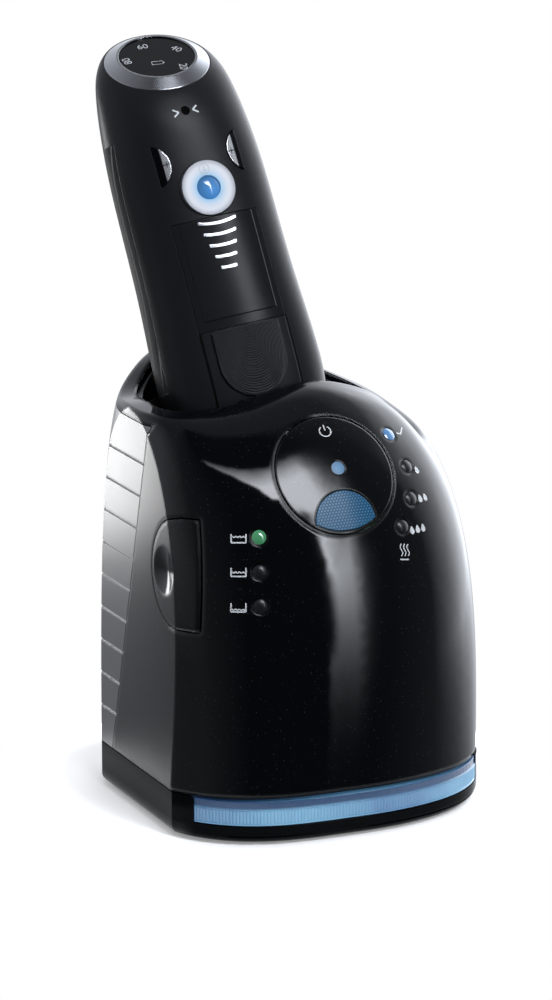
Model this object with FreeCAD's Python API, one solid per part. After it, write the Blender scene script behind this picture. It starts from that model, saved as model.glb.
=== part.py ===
import FreeCAD, Part
import math
import os

os.makedirs("parts", exist_ok=True)
V = FreeCAD.Vector
X = V(1, 0, 0)
Y = V(0, 1, 0)
Z = V(0, 0, 1)

# ---------------------------------------------------------------- driving dimensions, mm
# Frame: origin under the middle of the base, X to the right, Y to the back, Z up, table at Z = 0.

# base
BASE_HALF_WIDTH = 64.5  # of the rounded outline, before its flat flanks
BASE_HALF_DEPTH = 58.0
BASE_LIP = 1.6  # the base stands this far proud of the housing at the front
OUTLINE_POWER = 2.7  # 2 is an ellipse, more is squarer
FLANK_X = 59.8  # the flat flanks, at the foot of the housing
FLANK_DRAFT = 0.03  # the flanks lean in by this much for each mm of height
BASE_TOP = 16.5
BASE_UNDERCUT = 4.0
FOOT_PROUD = 0.8
FOOT_HEIGHT = 2.3
# the foot is one ring that follows the outline of the base
FOOT_INSET, FOOT_WIDTH, FOOT_SIDE_GAP = 16.0, 7.0, 0.1
BASE_WALL = 2.4
BASE_FLOOR = 2.6

# cartridge
CARTRIDGE_WINDOW_Z = 7.3  # lower edge of the window across the front of the base
CARTRIDGE_HALF_WIDTH = 46.0
CARTRIDGE_FRONT_Y, CARTRIDGE_BACK_Y = -47.0, 24.0
CARTRIDGE_TOP = 36.0
CARTRIDGE_WALL = 1.8
CARTRIDGE_COVER = 2.2
WINDOW_HALF_WIDTH = 55.0
# groove along the front of the base, under the window
GROOVE_Z, GROOVE_HEIGHT, GROOVE_DEPTH = 3.4, 0.6, 0.8
GROOVE_X0, GROOVE_X1 = -46.0, 52.0

# housing
HOUSING_Z = 17.0
HOUSING_WALL = 2.4
SHELL_GAP = 0.3  # shut line between the two shells
SEAM_Y, SEAM_RAKE = 21.0, 0.208  # the rear shell starts here and comes forward with height
REAR_SHELL_TOP = 141.0
RIB_PITCH, RIB_GROOVE, RIB_DEPTH = 12.1, 1.1, 0.7
FIRST_RIB_Z, RIB_COUNT = 29.7, 9
HEIGHT_POWER, INSET_POWER = 3.2, 2 / 3  # how late and how roundly the skin turns in towards the rim
# stations round the rim of the dock opening: x, y, z, width of the land inside the rim
RIM = [
    (2, -8, 150.7, 2.4), (21, -8, 147.9, 2.4), (37, -9, 138.6, 2.6), (49, -6.5, 126.3, 3.2),
    (52.5, 4, 128.0, 3.6), (51, 17, 132.2, 3.6), (45, 31, 137.5, 3.8), (33, 39.5, 143.3, 4.0),
    (13, 51, 152, 4.4), (-8, 56, 157, 4.6), (-29, 52.5, 154.3, 4.8), (-41, 45, 148.8, 5.2),
    (-51.5, 31, 144, 6.0), (-54.5, 17, 144.5, 6.6), (-54, 3, 144.3, 6.6), (-47, -5.5, 144.2, 5.0),
    (-32, -8, 144.6, 3.0), (-15, -8, 147.6, 2.6),
]
LAND_RISE = 0.7  # the land rises this much from the rim to the mouth of the dock

# start button and its neighbours, on the sloping face
BUTTON_X, BUTTON_Y, BUTTON_Z = 0.4, -38.0, 126.2
BUTTON_LEAN = 31.0  # degrees from upright
BUTTON_RADIUS = 21.6
BUTTON_GAP = 0.5
BUTTON_THICK = 2.0
BUTTON_LED_RADIUS = 2.4
BUTTON_LED_ACROSS, BUTTON_LED_UP = 1.0, 1.6
FAST_RADIUS = 11.2
FAST_RIM = 1.2  # the start button keeps this much of its edge below the half-moon
FAST_DROP = 17.8  # centre of the half-moon below the centre of the start button
LENS_RADIUS = 2.5
LENS_PROUD = 0.6
LENS_DOME = 4.5  # radius of the crowned top
LENS_DEPTH = 5.0
LEVEL_LENSES = [(-31.4, 108.2), (-32.8, 96.9), (-33.8, 85.4)]  # x, z
STATUS_LENSES = [(25.9, 135.1), (29.3, 124.8), (27.9, 114.9), (22.0, 106.6)]  # x, z

# lift button at the left front corner
LIFT_Z = 94.5
LIFT_HALF_HEIGHT = 18.8
LIFT_LOW_X, LIFT_HIGH_X = -52.4, -48.8  # inner edge of its front plate, below and above
LIFT_CORNER_Y = -27.0
LIFT_MOON_X = -52.0
LIFT_REACH = 16.0
LIFT_GAP = 0.55
LIFT_THICK = 2.0

# guide rods and lift
ROD_X, ROD_Y, ROD_RADIUS, ROD_TOP = 38.0, 40.0, 3.0, 96.0
BUSH_RADIUS, BUSH_LENGTH = 5.5, 14.0
RUNNING_CLEARANCE = 0.05
CHASSIS_THICK = 2.2

# dock
BOWL_FLOOR = 121.0
BOWL_WALL = 1.8
BOWL_DROP = 1.6  # the bowl starts this far below the mouth
FIT = 0.3  # clearance between pieces that don't run on each other

# shaver, in its own frame: its axis is Z, its front looks to -Y, and Z = 0 is level with the collar
SHAVER_X, SHAVER_Y, SHAVER_Z = -9.5, 19.0, 146.9
LEAN_BACK, LEAN_LEFT, TURN_LEFT = 22.0, 6.2, 6.0
# height, half width, half thickness, tilt of the section in degrees, squareness
SHAVER_SECTIONS = [
    (-16, 27.2, 15.5, 0, 2.7), (-7, 29.2, 18.0, 0, 2.7), (10, 29.6, 19.2, 0, 2.7),
    (35, 28.3, 19.6, 0, 2.6), (58, 27.9, 19.6, 4, 2.5), (78, 27.6, 19.8, 14, 2.4),
    (95, 26.4, 20.6, 26, 2.3), (108, 24.6, 21.2, 35, 2.15), (114.7, 22.5, 21.0, 40.5, 2.05),
    (117.5, 20.5, 20.2, 42, 2.0), (118.5, 19.3, 19.3, 42, 2.0),
]
SHAVER_WALL = 2.0
DISPLAY_TILT = 42.0
DISPLAY_RADIUS = 19.0
GLASS_RADIUS = 13.7
BEZEL_HEIGHT = 2.6
HEAD_HALF_WIDTH, HEAD_HALF_THICK = 27.5, 12.5
HEAD_TOP, HEAD_BOTTOM = -19.0, -40.5
CUP_CLEARANCE = 1.2
CUP_BOTTOM = -43.5
SHAVER_SPLIT_Y = 3.0
PANEL_HALF_WIDTH, PANEL_LOW, PANEL_HIGH = 16.2, 18.6, 57.8
POWER_Z, POWER_RADIUS = 68.2, 9.8
SLIDER_HALF_WIDTH, SLIDER_LOW, SLIDER_HIGH = 12.6, -7.0, 17.6
STATIONS = len(RIM)


# ---------------------------------------------------------------- helpers
def write(name, shape):
    shape.exportStep("parts/" + name + ".step")


def superellipse(half_x, half_y, power, angle):
    c, s = math.cos(angle), math.sin(angle)
    e = 2.0 / power
    return math.copysign(abs(c) ** e, c) * half_x, math.copysign(abs(s) ** e, s) * half_y


def closed_curve(points):
    curve = Part.BSplineCurve()
    curve.interpolate(Points=points, PeriodicFlag=True)
    return Part.Wire([curve.toShape()])


def closed_solid(faces):
    shell = Part.makeShell(faces)
    shell.sewShape()
    solid = Part.makeSolid(Part.Shell(shell.Faces))
    if solid.Volume < 0:
        solid.reverse()
    return solid


def cylinder(radius, height, base, axis=Z):
    return Part.makeCylinder(radius, height, base, axis)


def tube(outer, inner, height, base, axis=Z):
    return cylinder(outer, height, base, axis).cut(cylinder(inner, height, base, axis))


def box(x0, x1, y0, y1, z0, z1):
    return Part.makeBox(x1 - x0, y1 - y0, z1 - z0, V(x0, y0, z0))


def prism(points, direction):
    return Part.Face(Part.makePolygon([V(*p) for p in points + points[:1]])).extrude(direction)


def fuse_all(shapes):
    return shapes[0].multiFuse(shapes[1:]).removeSplitter() if len(shapes) > 1 else shapes[0]


# ---------------------------------------------------------------- the outer skin of the housing
def inset_plan(points, amounts):
    """Moves the points of a counter-clockwise loop in towards its inside, each by its own amount."""
    moved = []
    for i, (px, py) in enumerate(points):
        ax, ay = points[i - 1]
        bx, by = points[(i + 1) % len(points)]
        length = math.hypot(bx - ax, by - ay)
        moved.append((px - (by - ay) / length * amounts[i], py + (bx - ax) / length * amounts[i]))
    return moved


def rim_plan(inset=0.0, land_share=0.0):
    return inset_plan([(r[0], r[1]) for r in RIM], [inset + land_share * r[3] for r in RIM])


def foot_plan(inset=0.0):
    steps = [math.radians(-90 + 360.0 * i / STATIONS) for i in range(STATIONS)]
    return [superellipse(BASE_HALF_WIDTH - inset, BASE_HALF_DEPTH - inset, OUTLINE_POWER, a) for a in steps]


def skin_section(share, inset, rim, drop):
    """One level of the skin: share runs from 0 at the foot to 1 at the rim."""
    turned_in = 1 - (1 - share ** HEIGHT_POWER) ** INSET_POWER
    points = []
    for (fx, fy), (rx, ry), station in zip(foot_plan(inset), rim, RIM):
        z = HOUSING_Z + share * (station[2] - drop - HOUSING_Z)
        points.append(V(fx + turned_in * (rx - fx), fy + turned_in * (ry - fy), z))
    return closed_curve(points)


def loop_at(plan, heights):
    return closed_curve([V(x, y, z) for (x, y), z in zip(plan, heights)])


SKIN_LEVELS = [0, 0.16, 0.32, 0.46, 0.58, 0.68, 0.77, 0.85, 0.91, 0.955, 0.985, 1.0]
CHIMNEY = 185.0


def skin_solid(inset, rim, drop, mouth, mouth_rise):
    """The skin closed off: up to the rim, in over the land, then straight up above the dock opening."""
    sections = [skin_section(s, inset, rim, drop) for s in SKIN_LEVELS]
    heights = [r[2] - drop + mouth_rise for r in RIM]
    mouth_loop = loop_at(mouth, heights)
    top = loop_at(mouth, [CHIMNEY] * STATIONS)
    faces = Part.makeLoft(sections, False, False).Faces
    faces += Part.makeLoft([sections[-1], mouth_loop], False, True).Faces
    faces += Part.makeLoft([mouth_loop, top], False, True).Faces
    faces += [Part.Face(sections[0]), Part.Face(top)]
    return closed_solid(faces)


def between_flanks(inset):
    low, high = 0.0, 200.0
    half = [FLANK_X - inset - FLANK_DRAFT * (z - HOUSING_Z) for z in (low, high)]
    outline = [(-half[0], -90, low), (half[0], -90, low), (half[1], -90, high), (-half[1], -90, high)]
    return prism(outline, V(0, 180, 0))


MOUTH_INSET = 0.6


def skin_inside(depth, mouth_rise=0.0):
    """The outer skin moved in by depth, with its flat flanks."""
    solid = skin_solid(depth, rim_plan(depth), depth, rim_plan(depth + MOUTH_INSET, 1.0), mouth_rise)
    return solid.common(between_flanks(depth))


outer_skin = skin_inside(0.0, LAND_RISE)
inner_skin = skin_solid(HOUSING_WALL, rim_plan(0.0, 1.0), HOUSING_WALL, rim_plan(0.1, 1.0), 0.0)
inner_skin = inner_skin.common(between_flanks(HOUSING_WALL))
housing = outer_skin.cut(inner_skin)


# ---------------------------------------------------------------- base
def outline_prism(inset, z0, z1, lip=0.0):
    """The plan outline of the foot, moved in by inset, as a plain prism between two heights."""
    points = []
    for px, py in foot_plan(inset):
        points.append(V(px, py * (1 + lip / BASE_HALF_DEPTH) if py < 0 else py, z0))
    side = FLANK_X - inset
    return Part.Face(closed_curve(points)).extrude(V(0, 0, z1 - z0)).common(box(-side, side, -90, 90, z0, z1))


def base_body():
    """The outside of the base: a rounded undercut all round, then a straight wall."""
    steps = [0, 0.25, 0.5, 0.75, 1.0]
    insets = [BASE_UNDERCUT * (1 - math.sqrt(1 - (1 - t) ** 2)) for t in steps]
    levels = [(FOOT_PROUD + BASE_UNDERCUT * t, inset) for t, inset in zip(steps, insets)]
    levels.append((BASE_TOP, 0.0))
    loops = []
    for z, inset in levels:
        plan = [V(x, y * (1 + BASE_LIP / BASE_HALF_DEPTH) if y < 0 else y, z) for x, y in foot_plan(inset)]
        loops.append(closed_curve(plan))
    faces = Part.makeLoft(loops[:-1], False, False).Faces
    faces += Part.makeLoft(loops[-2:], False, True).Faces
    faces += [Part.Face(loops[0]), Part.Face(loops[-1])]
    right = [(FLANK_X - inset, -90, z) for z, inset in levels]
    left = [(inset - FLANK_X, -90, z) for z, inset in reversed(levels)]
    return closed_solid(faces).common(prism(right + left, V(0, 180, 0)))


FLOOR_TOP = FOOT_PROUD + BASE_FLOOR
rods_at = [(-ROD_X, ROD_Y), (ROD_X, ROD_Y)]
base_tray = base_body().cut(outline_prism(BASE_WALL, FLOOR_TOP, BASE_TOP + 1, BASE_LIP))
window = box(-WINDOW_HALF_WIDTH, WINDOW_HALF_WIDTH, -90, -25, CARTRIDGE_WINDOW_Z, BASE_TOP + 1)
base_tray = base_tray.cut(window)
groove_top = GROOVE_Z + GROOVE_HEIGHT
groove = outline_prism(-1.0, GROOVE_Z, groove_top, BASE_LIP)
groove = groove.cut(outline_prism(GROOVE_DEPTH, GROOVE_Z, groove_top, BASE_LIP))
base_tray = base_tray.cut(groove.common(box(GROOVE_X0, GROOVE_X1, -90, -20, GROOVE_Z, groove_top)))


def foot_band(side_gap):
    outer = outline_prism(FOOT_INSET + side_gap, 0, FOOT_HEIGHT)
    return outer.cut(outline_prism(FOOT_INSET + FOOT_WIDTH - side_gap, 0, FOOT_HEIGHT))


base_tray = base_tray.cut(foot_band(0.0))
foot_ring = foot_band(FOOT_SIDE_GAP)
for rx, ry in rods_at:
    rod_boss = cylinder(ROD_RADIUS + 2.5, 5.0, V(rx, ry, FLOOR_TOP))
    base_tray = base_tray.fuse(rod_boss).cut(cylinder(ROD_RADIUS, 20, V(rx, ry, FLOOR_TOP - 0.6)))
    base_tray = base_tray.cut(cylinder(1.6, 10, V(rx, ry, -1))).cut(cylinder(3.1, 1.8, V(rx, ry, 0)))
write("base_tray", base_tray)
write("foot_ring", foot_ring)

rods = []
rod_screws = []
for rx, ry in rods_at:
    rod = cylinder(ROD_RADIUS, ROD_TOP - FLOOR_TOP + 0.6, V(rx, ry, FLOOR_TOP - 0.6))
    rods.append(rod.cut(cylinder(1.3, 9, V(rx, ry, 0))))
    head = cylinder(2.8, 0.9, V(rx, ry, 0.9))
    rod_screws.append(head.fuse(cylinder(1.3, 7.2, V(rx, ry, 1.8))))
write("guide_rods", Part.makeCompound(rods))
write("rod_screws", Part.makeCompound(rod_screws))

SPRING_WIRE, SPRING_TURNS, SPRING_GAP, POINTS_PER_TURN = 0.5, 4, 0.6, 12
CHASSIS_Z = HOUSING_Z + 0.6
SPRING_FOOT = FLOOR_TOP + 5.0
springs = []
spring_radius = ROD_RADIUS + SPRING_GAP + SPRING_WIRE
spring_rise = CHASSIS_Z - SPRING_FOOT - 2 * SPRING_WIRE - SPRING_GAP


def coil_point(foot, turn):
    angle = 2 * math.pi * turn
    around = V(spring_radius * math.cos(angle), spring_radius * math.sin(angle), 0)
    return foot + around + Z * (spring_rise * turn / SPRING_TURNS)


for rx, ry in rods_at:
    turns = [i / POINTS_PER_TURN for i in range(SPRING_TURNS * POINTS_PER_TURN + 1)]
    foot_at = V(rx, ry, SPRING_FOOT + SPRING_WIRE)
    line = Part.BSplineCurve()
    line.interpolate([coil_point(foot_at, turn) for turn in turns])
    start_way = line.tangent(line.FirstParameter)[0]
    section = Part.Wire([Part.Edge(Part.Circle(line.StartPoint, start_way, SPRING_WIRE))])
    springs.append(Part.Wire([line.toShape()]).makePipeShell([section], True, True))
write("lift_springs", Part.makeCompound(springs))

# cartridge: a tub with a ribbed front band that shows through the window of the base
TUB_INSET = 6.5
tub_box = (-CARTRIDGE_HALF_WIDTH, CARTRIDGE_HALF_WIDTH, CARTRIDGE_FRONT_Y, CARTRIDGE_BACK_Y)
tub_foot = FLOOR_TOP + FIT
tub = outline_prism(TUB_INSET, tub_foot, CARTRIDGE_TOP).common(box(*tub_box, tub_foot, CARTRIDGE_TOP))
tub_hollow = outline_prism(TUB_INSET + CARTRIDGE_WALL, tub_foot + CARTRIDGE_WALL, 60)
wall_box = [v - math.copysign(CARTRIDGE_WALL, v) for v in tub_box]
tub_hollow = tub_hollow.common(box(*wall_box, tub_foot + CARTRIDGE_WALL, 60))
BAND_RECESS, BAND_WALL = 0.5, 2.4
band_z = (CARTRIDGE_WINDOW_Z + FIT, BASE_TOP - FIT)
band_box = box(-WINDOW_HALF_WIDTH + FIT, WINDOW_HALF_WIDTH - FIT, -90, -30, *band_z)
band = outline_prism(BAND_RECESS, *band_z, BASE_LIP).common(band_box)
band = band.cut(outline_prism(BAND_RECESS + BAND_WALL, band_z[0] + 1.8, 60, BASE_LIP))
cartridge_tub = tub.fuse(band).cut(tub_hollow)
write("cartridge_tub", cartridge_tub)

SUCTION_X, SUCTION_Y, PIPE_RADIUS, PIPE_BORE = 22.0, 6.0, 3.0, 1.8
DRAIN_X, DRAIN_Y, DRAIN_RADIUS, DRAIN_BORE = -8.0, 10.0, 4.5, 3.2
PORT_CLEARANCE = 1.2
cover = outline_prism(TUB_INSET, CARTRIDGE_TOP, CARTRIDGE_TOP + CARTRIDGE_COVER)
cover = cover.common(box(*tub_box, CARTRIDGE_TOP, CARTRIDGE_TOP + CARTRIDGE_COVER))
cover = cover.cut(cylinder(PIPE_RADIUS + PORT_CLEARANCE, 20, V(SUCTION_X, SUCTION_Y, 30)))
cover = cover.cut(cylinder(DRAIN_RADIUS + PORT_CLEARANCE, 20, V(DRAIN_X, DRAIN_Y, 30)))
write("cartridge_cover", cover)
FILTER_X0, FILTER_X1, FILTER_TOP, FILTER_SETBACK = -40.0, -18.0, 28.0, 10.0
filter_back = CARTRIDGE_BACK_Y - CARTRIDGE_WALL - FIT
cartridge_filter = box(FILTER_X0, FILTER_X1, CARTRIDGE_FRONT_Y + FILTER_SETBACK, filter_back,
                       tub_foot + CARTRIDGE_WALL, FILTER_TOP)
write("cartridge_filter", cartridge_filter)

# catch on the base for the hook of the lift button
HOOK_Y0, HOOK_Y1 = -19.0, -13.0
CATCH_X = -55.6
catch = box(CATCH_X, CATCH_X + 1.6, HOOK_Y0, HOOK_Y1, FLOOR_TOP, 27)
catch = catch.fuse(box(CATCH_X, CATCH_X + 5.6, HOOK_Y0, HOOK_Y1, FLOOR_TOP, FLOOR_TOP + 1.6))
catch = catch.fuse(box(CATCH_X, CATCH_X + 2.8, HOOK_Y0, HOOK_Y1, 23, 25))
write("latch_catch", catch)

# ---------------------------------------------------------------- housing shells
def seam_y(z):
    return SEAM_Y - SEAM_RAKE * (z - HOUSING_Z)


COLLAR_DROP_X, COLLAR_RIGHT_X, COLLAR_RIGHT_Z = 0.0, 60.0, 118.0


def rear_region(gap):
    """Everything that the rear shell takes: behind the raked seam and below the collar."""
    low, high = 0.0, REAR_SHELL_TOP
    side = [(-90, seam_y(low) + gap, low), (-90, 120, low), (-90, 120, high), (-90, seam_y(high) + gap, high)]
    top = REAR_SHELL_TOP - gap
    fall = (COLLAR_RIGHT_Z - REAR_SHELL_TOP) / (COLLAR_RIGHT_X - COLLAR_DROP_X)
    outline = [(-90, -90, low), (90, -90, low), (90, -90, top + fall * (90 - COLLAR_DROP_X))]
    outline += [(COLLAR_DROP_X, -90, top), (-90, -90, top)]
    return prism(side, V(180, 0, 0)).common(prism(outline, V(0, 240, 0)))


BOSS_RADIUS, BOSS_TOP = 4.2, 34.0
front_bosses_at = [(-52.6, -26.0), (52.6, -26.0)]
rear_bosses_at = [(-26.0, 49.5), (26.0, 49.5)]
SCREW_RADIUS, SCREW_HEAD = 1.4, 2.7


def boss(at):
    solid = cylinder(BOSS_RADIUS, BOSS_TOP - CHASSIS_Z - CHASSIS_THICK, V(*at, CHASSIS_Z + CHASSIS_THICK))
    return solid.cut(cylinder(SCREW_RADIUS, 10, V(*at, CHASSIS_Z + CHASSIS_THICK)))


def boss_web(at):
    """A rib from a boss out to the wall beside it."""
    reach = 8.0 if abs(at[0]) > abs(at[1]) else 0.0
    if reach:
        x0, x1 = sorted([at[0] + math.copysign(2.5, at[0]), at[0] + math.copysign(reach, at[0])])
        return box(x0, x1, at[1] - 1, at[1] + 1, CHASSIS_Z + CHASSIS_THICK, BOSS_TOP)
    return box(at[0] - 1, at[0] + 1, at[1] + 2.5, at[1] + 9, CHASSIS_Z + CHASSIS_THICK, BOSS_TOP)


rear_shell = housing.common(rear_region(SHELL_GAP))
front_shell = housing.cut(rear_region(0.0))

# horizontal grooves round the rear shell
grooved_skin = skin_inside(RIB_DEPTH, LAND_RISE)
ribs = []
for k in range(RIB_COUNT):
    z = FIRST_RIB_Z + RIB_PITCH * k
    slab = box(-90, 90, -30, 90, z, z + RIB_GROOVE)
    ribs.append(slab.common(rear_region(SHELL_GAP)))
grooves = Part.makeCompound(ribs).cut(grooved_skin)
rear_shell = rear_shell.cut(grooves)
for at in rear_bosses_at:
    rear_shell = rear_shell.fuse([boss(at), boss_web(at).common(outer_skin)])
for at in front_bosses_at:
    front_shell = front_shell.fuse([boss(at), boss_web(at).common(outer_skin)])

# power socket in the rear shell
SOCKET_Z, SOCKET_HALF_X, SOCKET_HALF_Z, SOCKET_DEPTH = 44.0, 12.0, 8.0, 14.0
RECESS_HALF_X, RECESS_HALF_Z, RECESS_DEPTH = 8.4, 4.4, 10.0
socket_hole = box(-SOCKET_HALF_X - FIT, SOCKET_HALF_X + FIT, 40, 70,
                  SOCKET_Z - SOCKET_HALF_Z - FIT, SOCKET_Z + SOCKET_HALF_Z + FIT)
rear_shell = rear_shell.cut(socket_hole)
socket_face = BASE_HALF_DEPTH - 0.6
socket = box(-SOCKET_HALF_X, SOCKET_HALF_X, socket_face - SOCKET_DEPTH, socket_face,
             SOCKET_Z - SOCKET_HALF_Z, SOCKET_Z + SOCKET_HALF_Z)
recess = box(-RECESS_HALF_X + RECESS_HALF_Z, RECESS_HALF_X - RECESS_HALF_Z, socket_face - RECESS_DEPTH, 70,
             SOCKET_Z - RECESS_HALF_Z, SOCKET_Z + RECESS_HALF_Z)
for side in (-1, 1):
    centre = V(side * (RECESS_HALF_X - RECESS_HALF_Z), socket_face - RECESS_DEPTH, SOCKET_Z)
    recess = recess.fuse(cylinder(RECESS_HALF_Z, 30, centre, Y))
socket = socket.cut(recess)
PIN_SPACING, PIN_RADIUS = 6.6, 1.1
socket_pins = []
for side in (-1, 1):
    foot = V(side * PIN_SPACING / 2, socket_face - SOCKET_DEPTH - 2, SOCKET_Z)
    socket_pins.append(cylinder(PIN_RADIUS, SOCKET_DEPTH + 2 - 2.5, foot, Y))
socket = socket.cut(Part.makeCompound(socket_pins))
write("power_socket", socket)
write("socket_pins", Part.makeCompound(socket_pins))

# chassis: the floor of the housing, open over the cartridge, with a shelf for the pump
chassis_z1 = CHASSIS_Z + CHASSIS_THICK
chassis = outline_prism(HOUSING_WALL + FIT + 0.2, CHASSIS_Z, chassis_z1)
OPENING_GAP = 1.0
opening = outline_prism(TUB_INSET - OPENING_GAP, CHASSIS_Z - 1, chassis_z1 + 1)
opening_box = [v + math.copysign(OPENING_GAP, v) for v in tub_box]
opening = opening.common(box(*opening_box, CHASSIS_Z - 1, chassis_z1 + 1))
chassis = chassis.cut(opening)
SHELF_Z, SHELF_X0, SHELF_X1, SHELF_Y0 = 44.0, 4.0, 40.0, -10.0
RISER_Y0, RISER_Y1 = CARTRIDGE_BACK_Y + 1.6, CARTRIDGE_BACK_Y + 4.0
chassis = chassis.fuse([box(SHELF_X0, SHELF_X1 - 8, RISER_Y0, RISER_Y1, CHASSIS_Z, SHELF_Z + 2.4),
                        box(SHELF_X0, SHELF_X1, SHELF_Y0, RISER_Y1, SHELF_Z, SHELF_Z + 2.4)])
for rx, ry in rods_at:
    chassis = chassis.fuse(cylinder(BUSH_RADIUS + 1.8, BUSH_LENGTH, V(rx, ry, CHASSIS_Z)))
    chassis = chassis.cut(cylinder(BUSH_RADIUS, BUSH_LENGTH + 2, V(rx, ry, CHASSIS_Z - 1)))
chassis = chassis.cut(box(CATCH_X - 0.8, -48.6, HOOK_Y0 - 1, HOOK_Y1 + 1, CHASSIS_Z - 1, chassis_z1 + 1))
chassis = chassis.cut(cylinder(PIPE_RADIUS, 20, V(SUCTION_X, SUCTION_Y, SHELF_Z - 5)))
housing_screws = []
for at in front_bosses_at + rear_bosses_at:
    chassis = chassis.cut(cylinder(SCREW_RADIUS, 10, V(*at, CHASSIS_Z - 1)))
    shank = cylinder(SCREW_RADIUS, CHASSIS_THICK + 9, V(*at, CHASSIS_Z))
    housing_screws.append(shank.fuse(cylinder(SCREW_HEAD, 0.8, V(*at, CHASSIS_Z - 0.8))))
write("chassis_frame", chassis)
write("housing_screws", Part.makeCompound(housing_screws))
bush_bore = ROD_RADIUS + RUNNING_CLEARANCE
bushes = [tube(BUSH_RADIUS, bush_bore, BUSH_LENGTH, V(rx, ry, CHASSIS_Z)) for rx, ry in rods_at]
write("guide_bushes", Part.makeCompound(bushes))

# ---------------------------------------------------------------- controls on the sloping face
lean = math.radians(BUTTON_LEAN)
BUTTON_NORMAL = V(0, -math.cos(lean), math.sin(lean))
BUTTON_UP = V(0, math.sin(lean), math.cos(lean))
BUTTON_AT = V(BUTTON_X, BUTTON_Y, BUTTON_Z)


def on_face(across, up, depth=0.0):
    """A point on the plane of the start button: across to the right, up the slope, depth outwards."""
    return BUTTON_AT + X * across + BUTTON_UP * up + BUTTON_NORMAL * depth


def face_cylinder(radius, across, up, below, above):
    return cylinder(radius, below + above, on_face(across, up, -below), BUTTON_NORMAL)


def skin_hit(x, z):
    """The point of the outer skin at x and z on the front, and the direction out of it."""
    line = Part.makeLine(V(x, -100, z), V(x, 10, z))
    inside = outer_skin.common(line)
    point = min((v.Point for v in inside.Vertexes), key=lambda p: p.y)
    face = min(outer_skin.Faces, key=lambda f: f.distToShape(Part.Vertex(point))[0])
    u, v = face.Surface.parameter(point)
    normal = face.normalAt(u, v)
    return point, normal if normal.y < 0 else normal * -1


REACH = 12.0
button_hole = face_cylinder(BUTTON_RADIUS + BUTTON_GAP, 0, 0, REACH, REACH)
front_shell = front_shell.cut(button_hole)
button_skin = skin_inside(BUTTON_THICK)
start_button = outer_skin.common(face_cylinder(BUTTON_RADIUS, 0, 0, REACH, REACH)).cut(button_skin)
fast_shape = face_cylinder(FAST_RADIUS, 0, -FAST_DROP, REACH, REACH)
fast_inside = face_cylinder(BUTTON_RADIUS - FAST_RIM, 0, 0, REACH, REACH)
fast_hole = face_cylinder(FAST_RADIUS + FIT, 0, -FAST_DROP, REACH, REACH)
fast_button = outer_skin.common(fast_shape).common(fast_inside).cut(button_skin)
fast_room = face_cylinder(BUTTON_RADIUS - FAST_RIM + FIT, 0, 0, REACH, REACH)
start_button = start_button.cut(fast_hole.common(fast_room))
led_bore = face_cylinder(BUTTON_LED_RADIUS, BUTTON_LED_ACROSS, BUTTON_LED_UP, REACH, REACH)
start_lens = outer_skin.common(led_bore).cut(button_skin)
start_button = start_button.cut(led_bore)
STEM_REACH = 7.0  # the stems end this far behind the plane of the start button
START_STEM, START_STEM_UP, START_STEM_ROOT = 2.4, 9.0, 1.2
FAST_STEM, FAST_STEM_UP, FAST_STEM_ROOT = 2.0, 3.0 - FAST_DROP, 1.8
start_stem = face_cylinder(START_STEM, 0, START_STEM_UP, STEM_REACH, -START_STEM_ROOT)
fast_stem = face_cylinder(FAST_STEM, 0, FAST_STEM_UP, STEM_REACH, -FAST_STEM_ROOT)
start_button = start_button.fuse(start_stem)
fast_button = fast_button.fuse(fast_stem)
write("start_button", start_button)
write("start_button_lens", start_lens)
write("fast_clean_button", fast_button)


def lens_bore(point, normal):
    return cylinder(LENS_RADIUS, LENS_DEPTH + LENS_PROUD, point - normal * LENS_DEPTH, normal)


# a short rod with a crowned end, made once. The sphere's own seam is turned away from the crown.
crown = Part.makeSphere(LENS_DOME)
crown.Placement = FreeCAD.Placement(Z * (LENS_PROUD - LENS_DOME), FreeCAD.Rotation(X, Z * -1))
upright_lens = lens_bore(V(0, 0, 0), Z).common(crown)


def lens(point, normal):
    placed = upright_lens.copy()
    placed.Placement = FreeCAD.Placement(point, FreeCAD.Rotation(Z, normal))
    return placed


lens_spots = [skin_hit(*at) for at in LEVEL_LENSES + STATUS_LENSES]
lenses = [lens(*spot) for spot in lens_spots]
level_lenses, status_lenses = lenses[:len(LEVEL_LENSES)], lenses[len(LEVEL_LENSES):]
front_shell = front_shell.cut(Part.makeCompound([lens_bore(*spot) for spot in lens_spots]))
write("level_lens_full", level_lenses[0])
write("level_lenses_low", Part.makeCompound(level_lenses[1:]))
write("status_lens_ready", status_lenses[0])
write("status_lenses_cycle", Part.makeCompound(status_lenses[1:]))

# boards behind the controls
BOARD_DEPTH, BOARD_THICK = 11.5, 1.6
board_frame = FreeCAD.Placement(BUTTON_AT, FreeCAD.Rotation(X, BUTTON_LEAN * -1))
display_board = box(-24, 26, 0, BOARD_THICK, -22, 10)
display_board.Placement = board_frame
display_board.translate(BUTTON_NORMAL * -BOARD_DEPTH)
level_board = box(-38, -26, -37.5, -37.5 + BOARD_THICK, 80, 104)

# indicator diodes: one behind each lens, standing on the boards
LED_RADIUS, LED_LENGTH = 1.5, 4.0
leds = [cylinder(LED_RADIUS, LED_LENGTH, p - n * (LENS_DEPTH + FIT + LED_LENGTH), n) for p, n in lens_spots]
write("indicator_leds", Part.makeCompound(leds))
write("display_boards", Part.makeCompound([display_board, level_board]).cut(Part.makeCompound(leds)))

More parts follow.
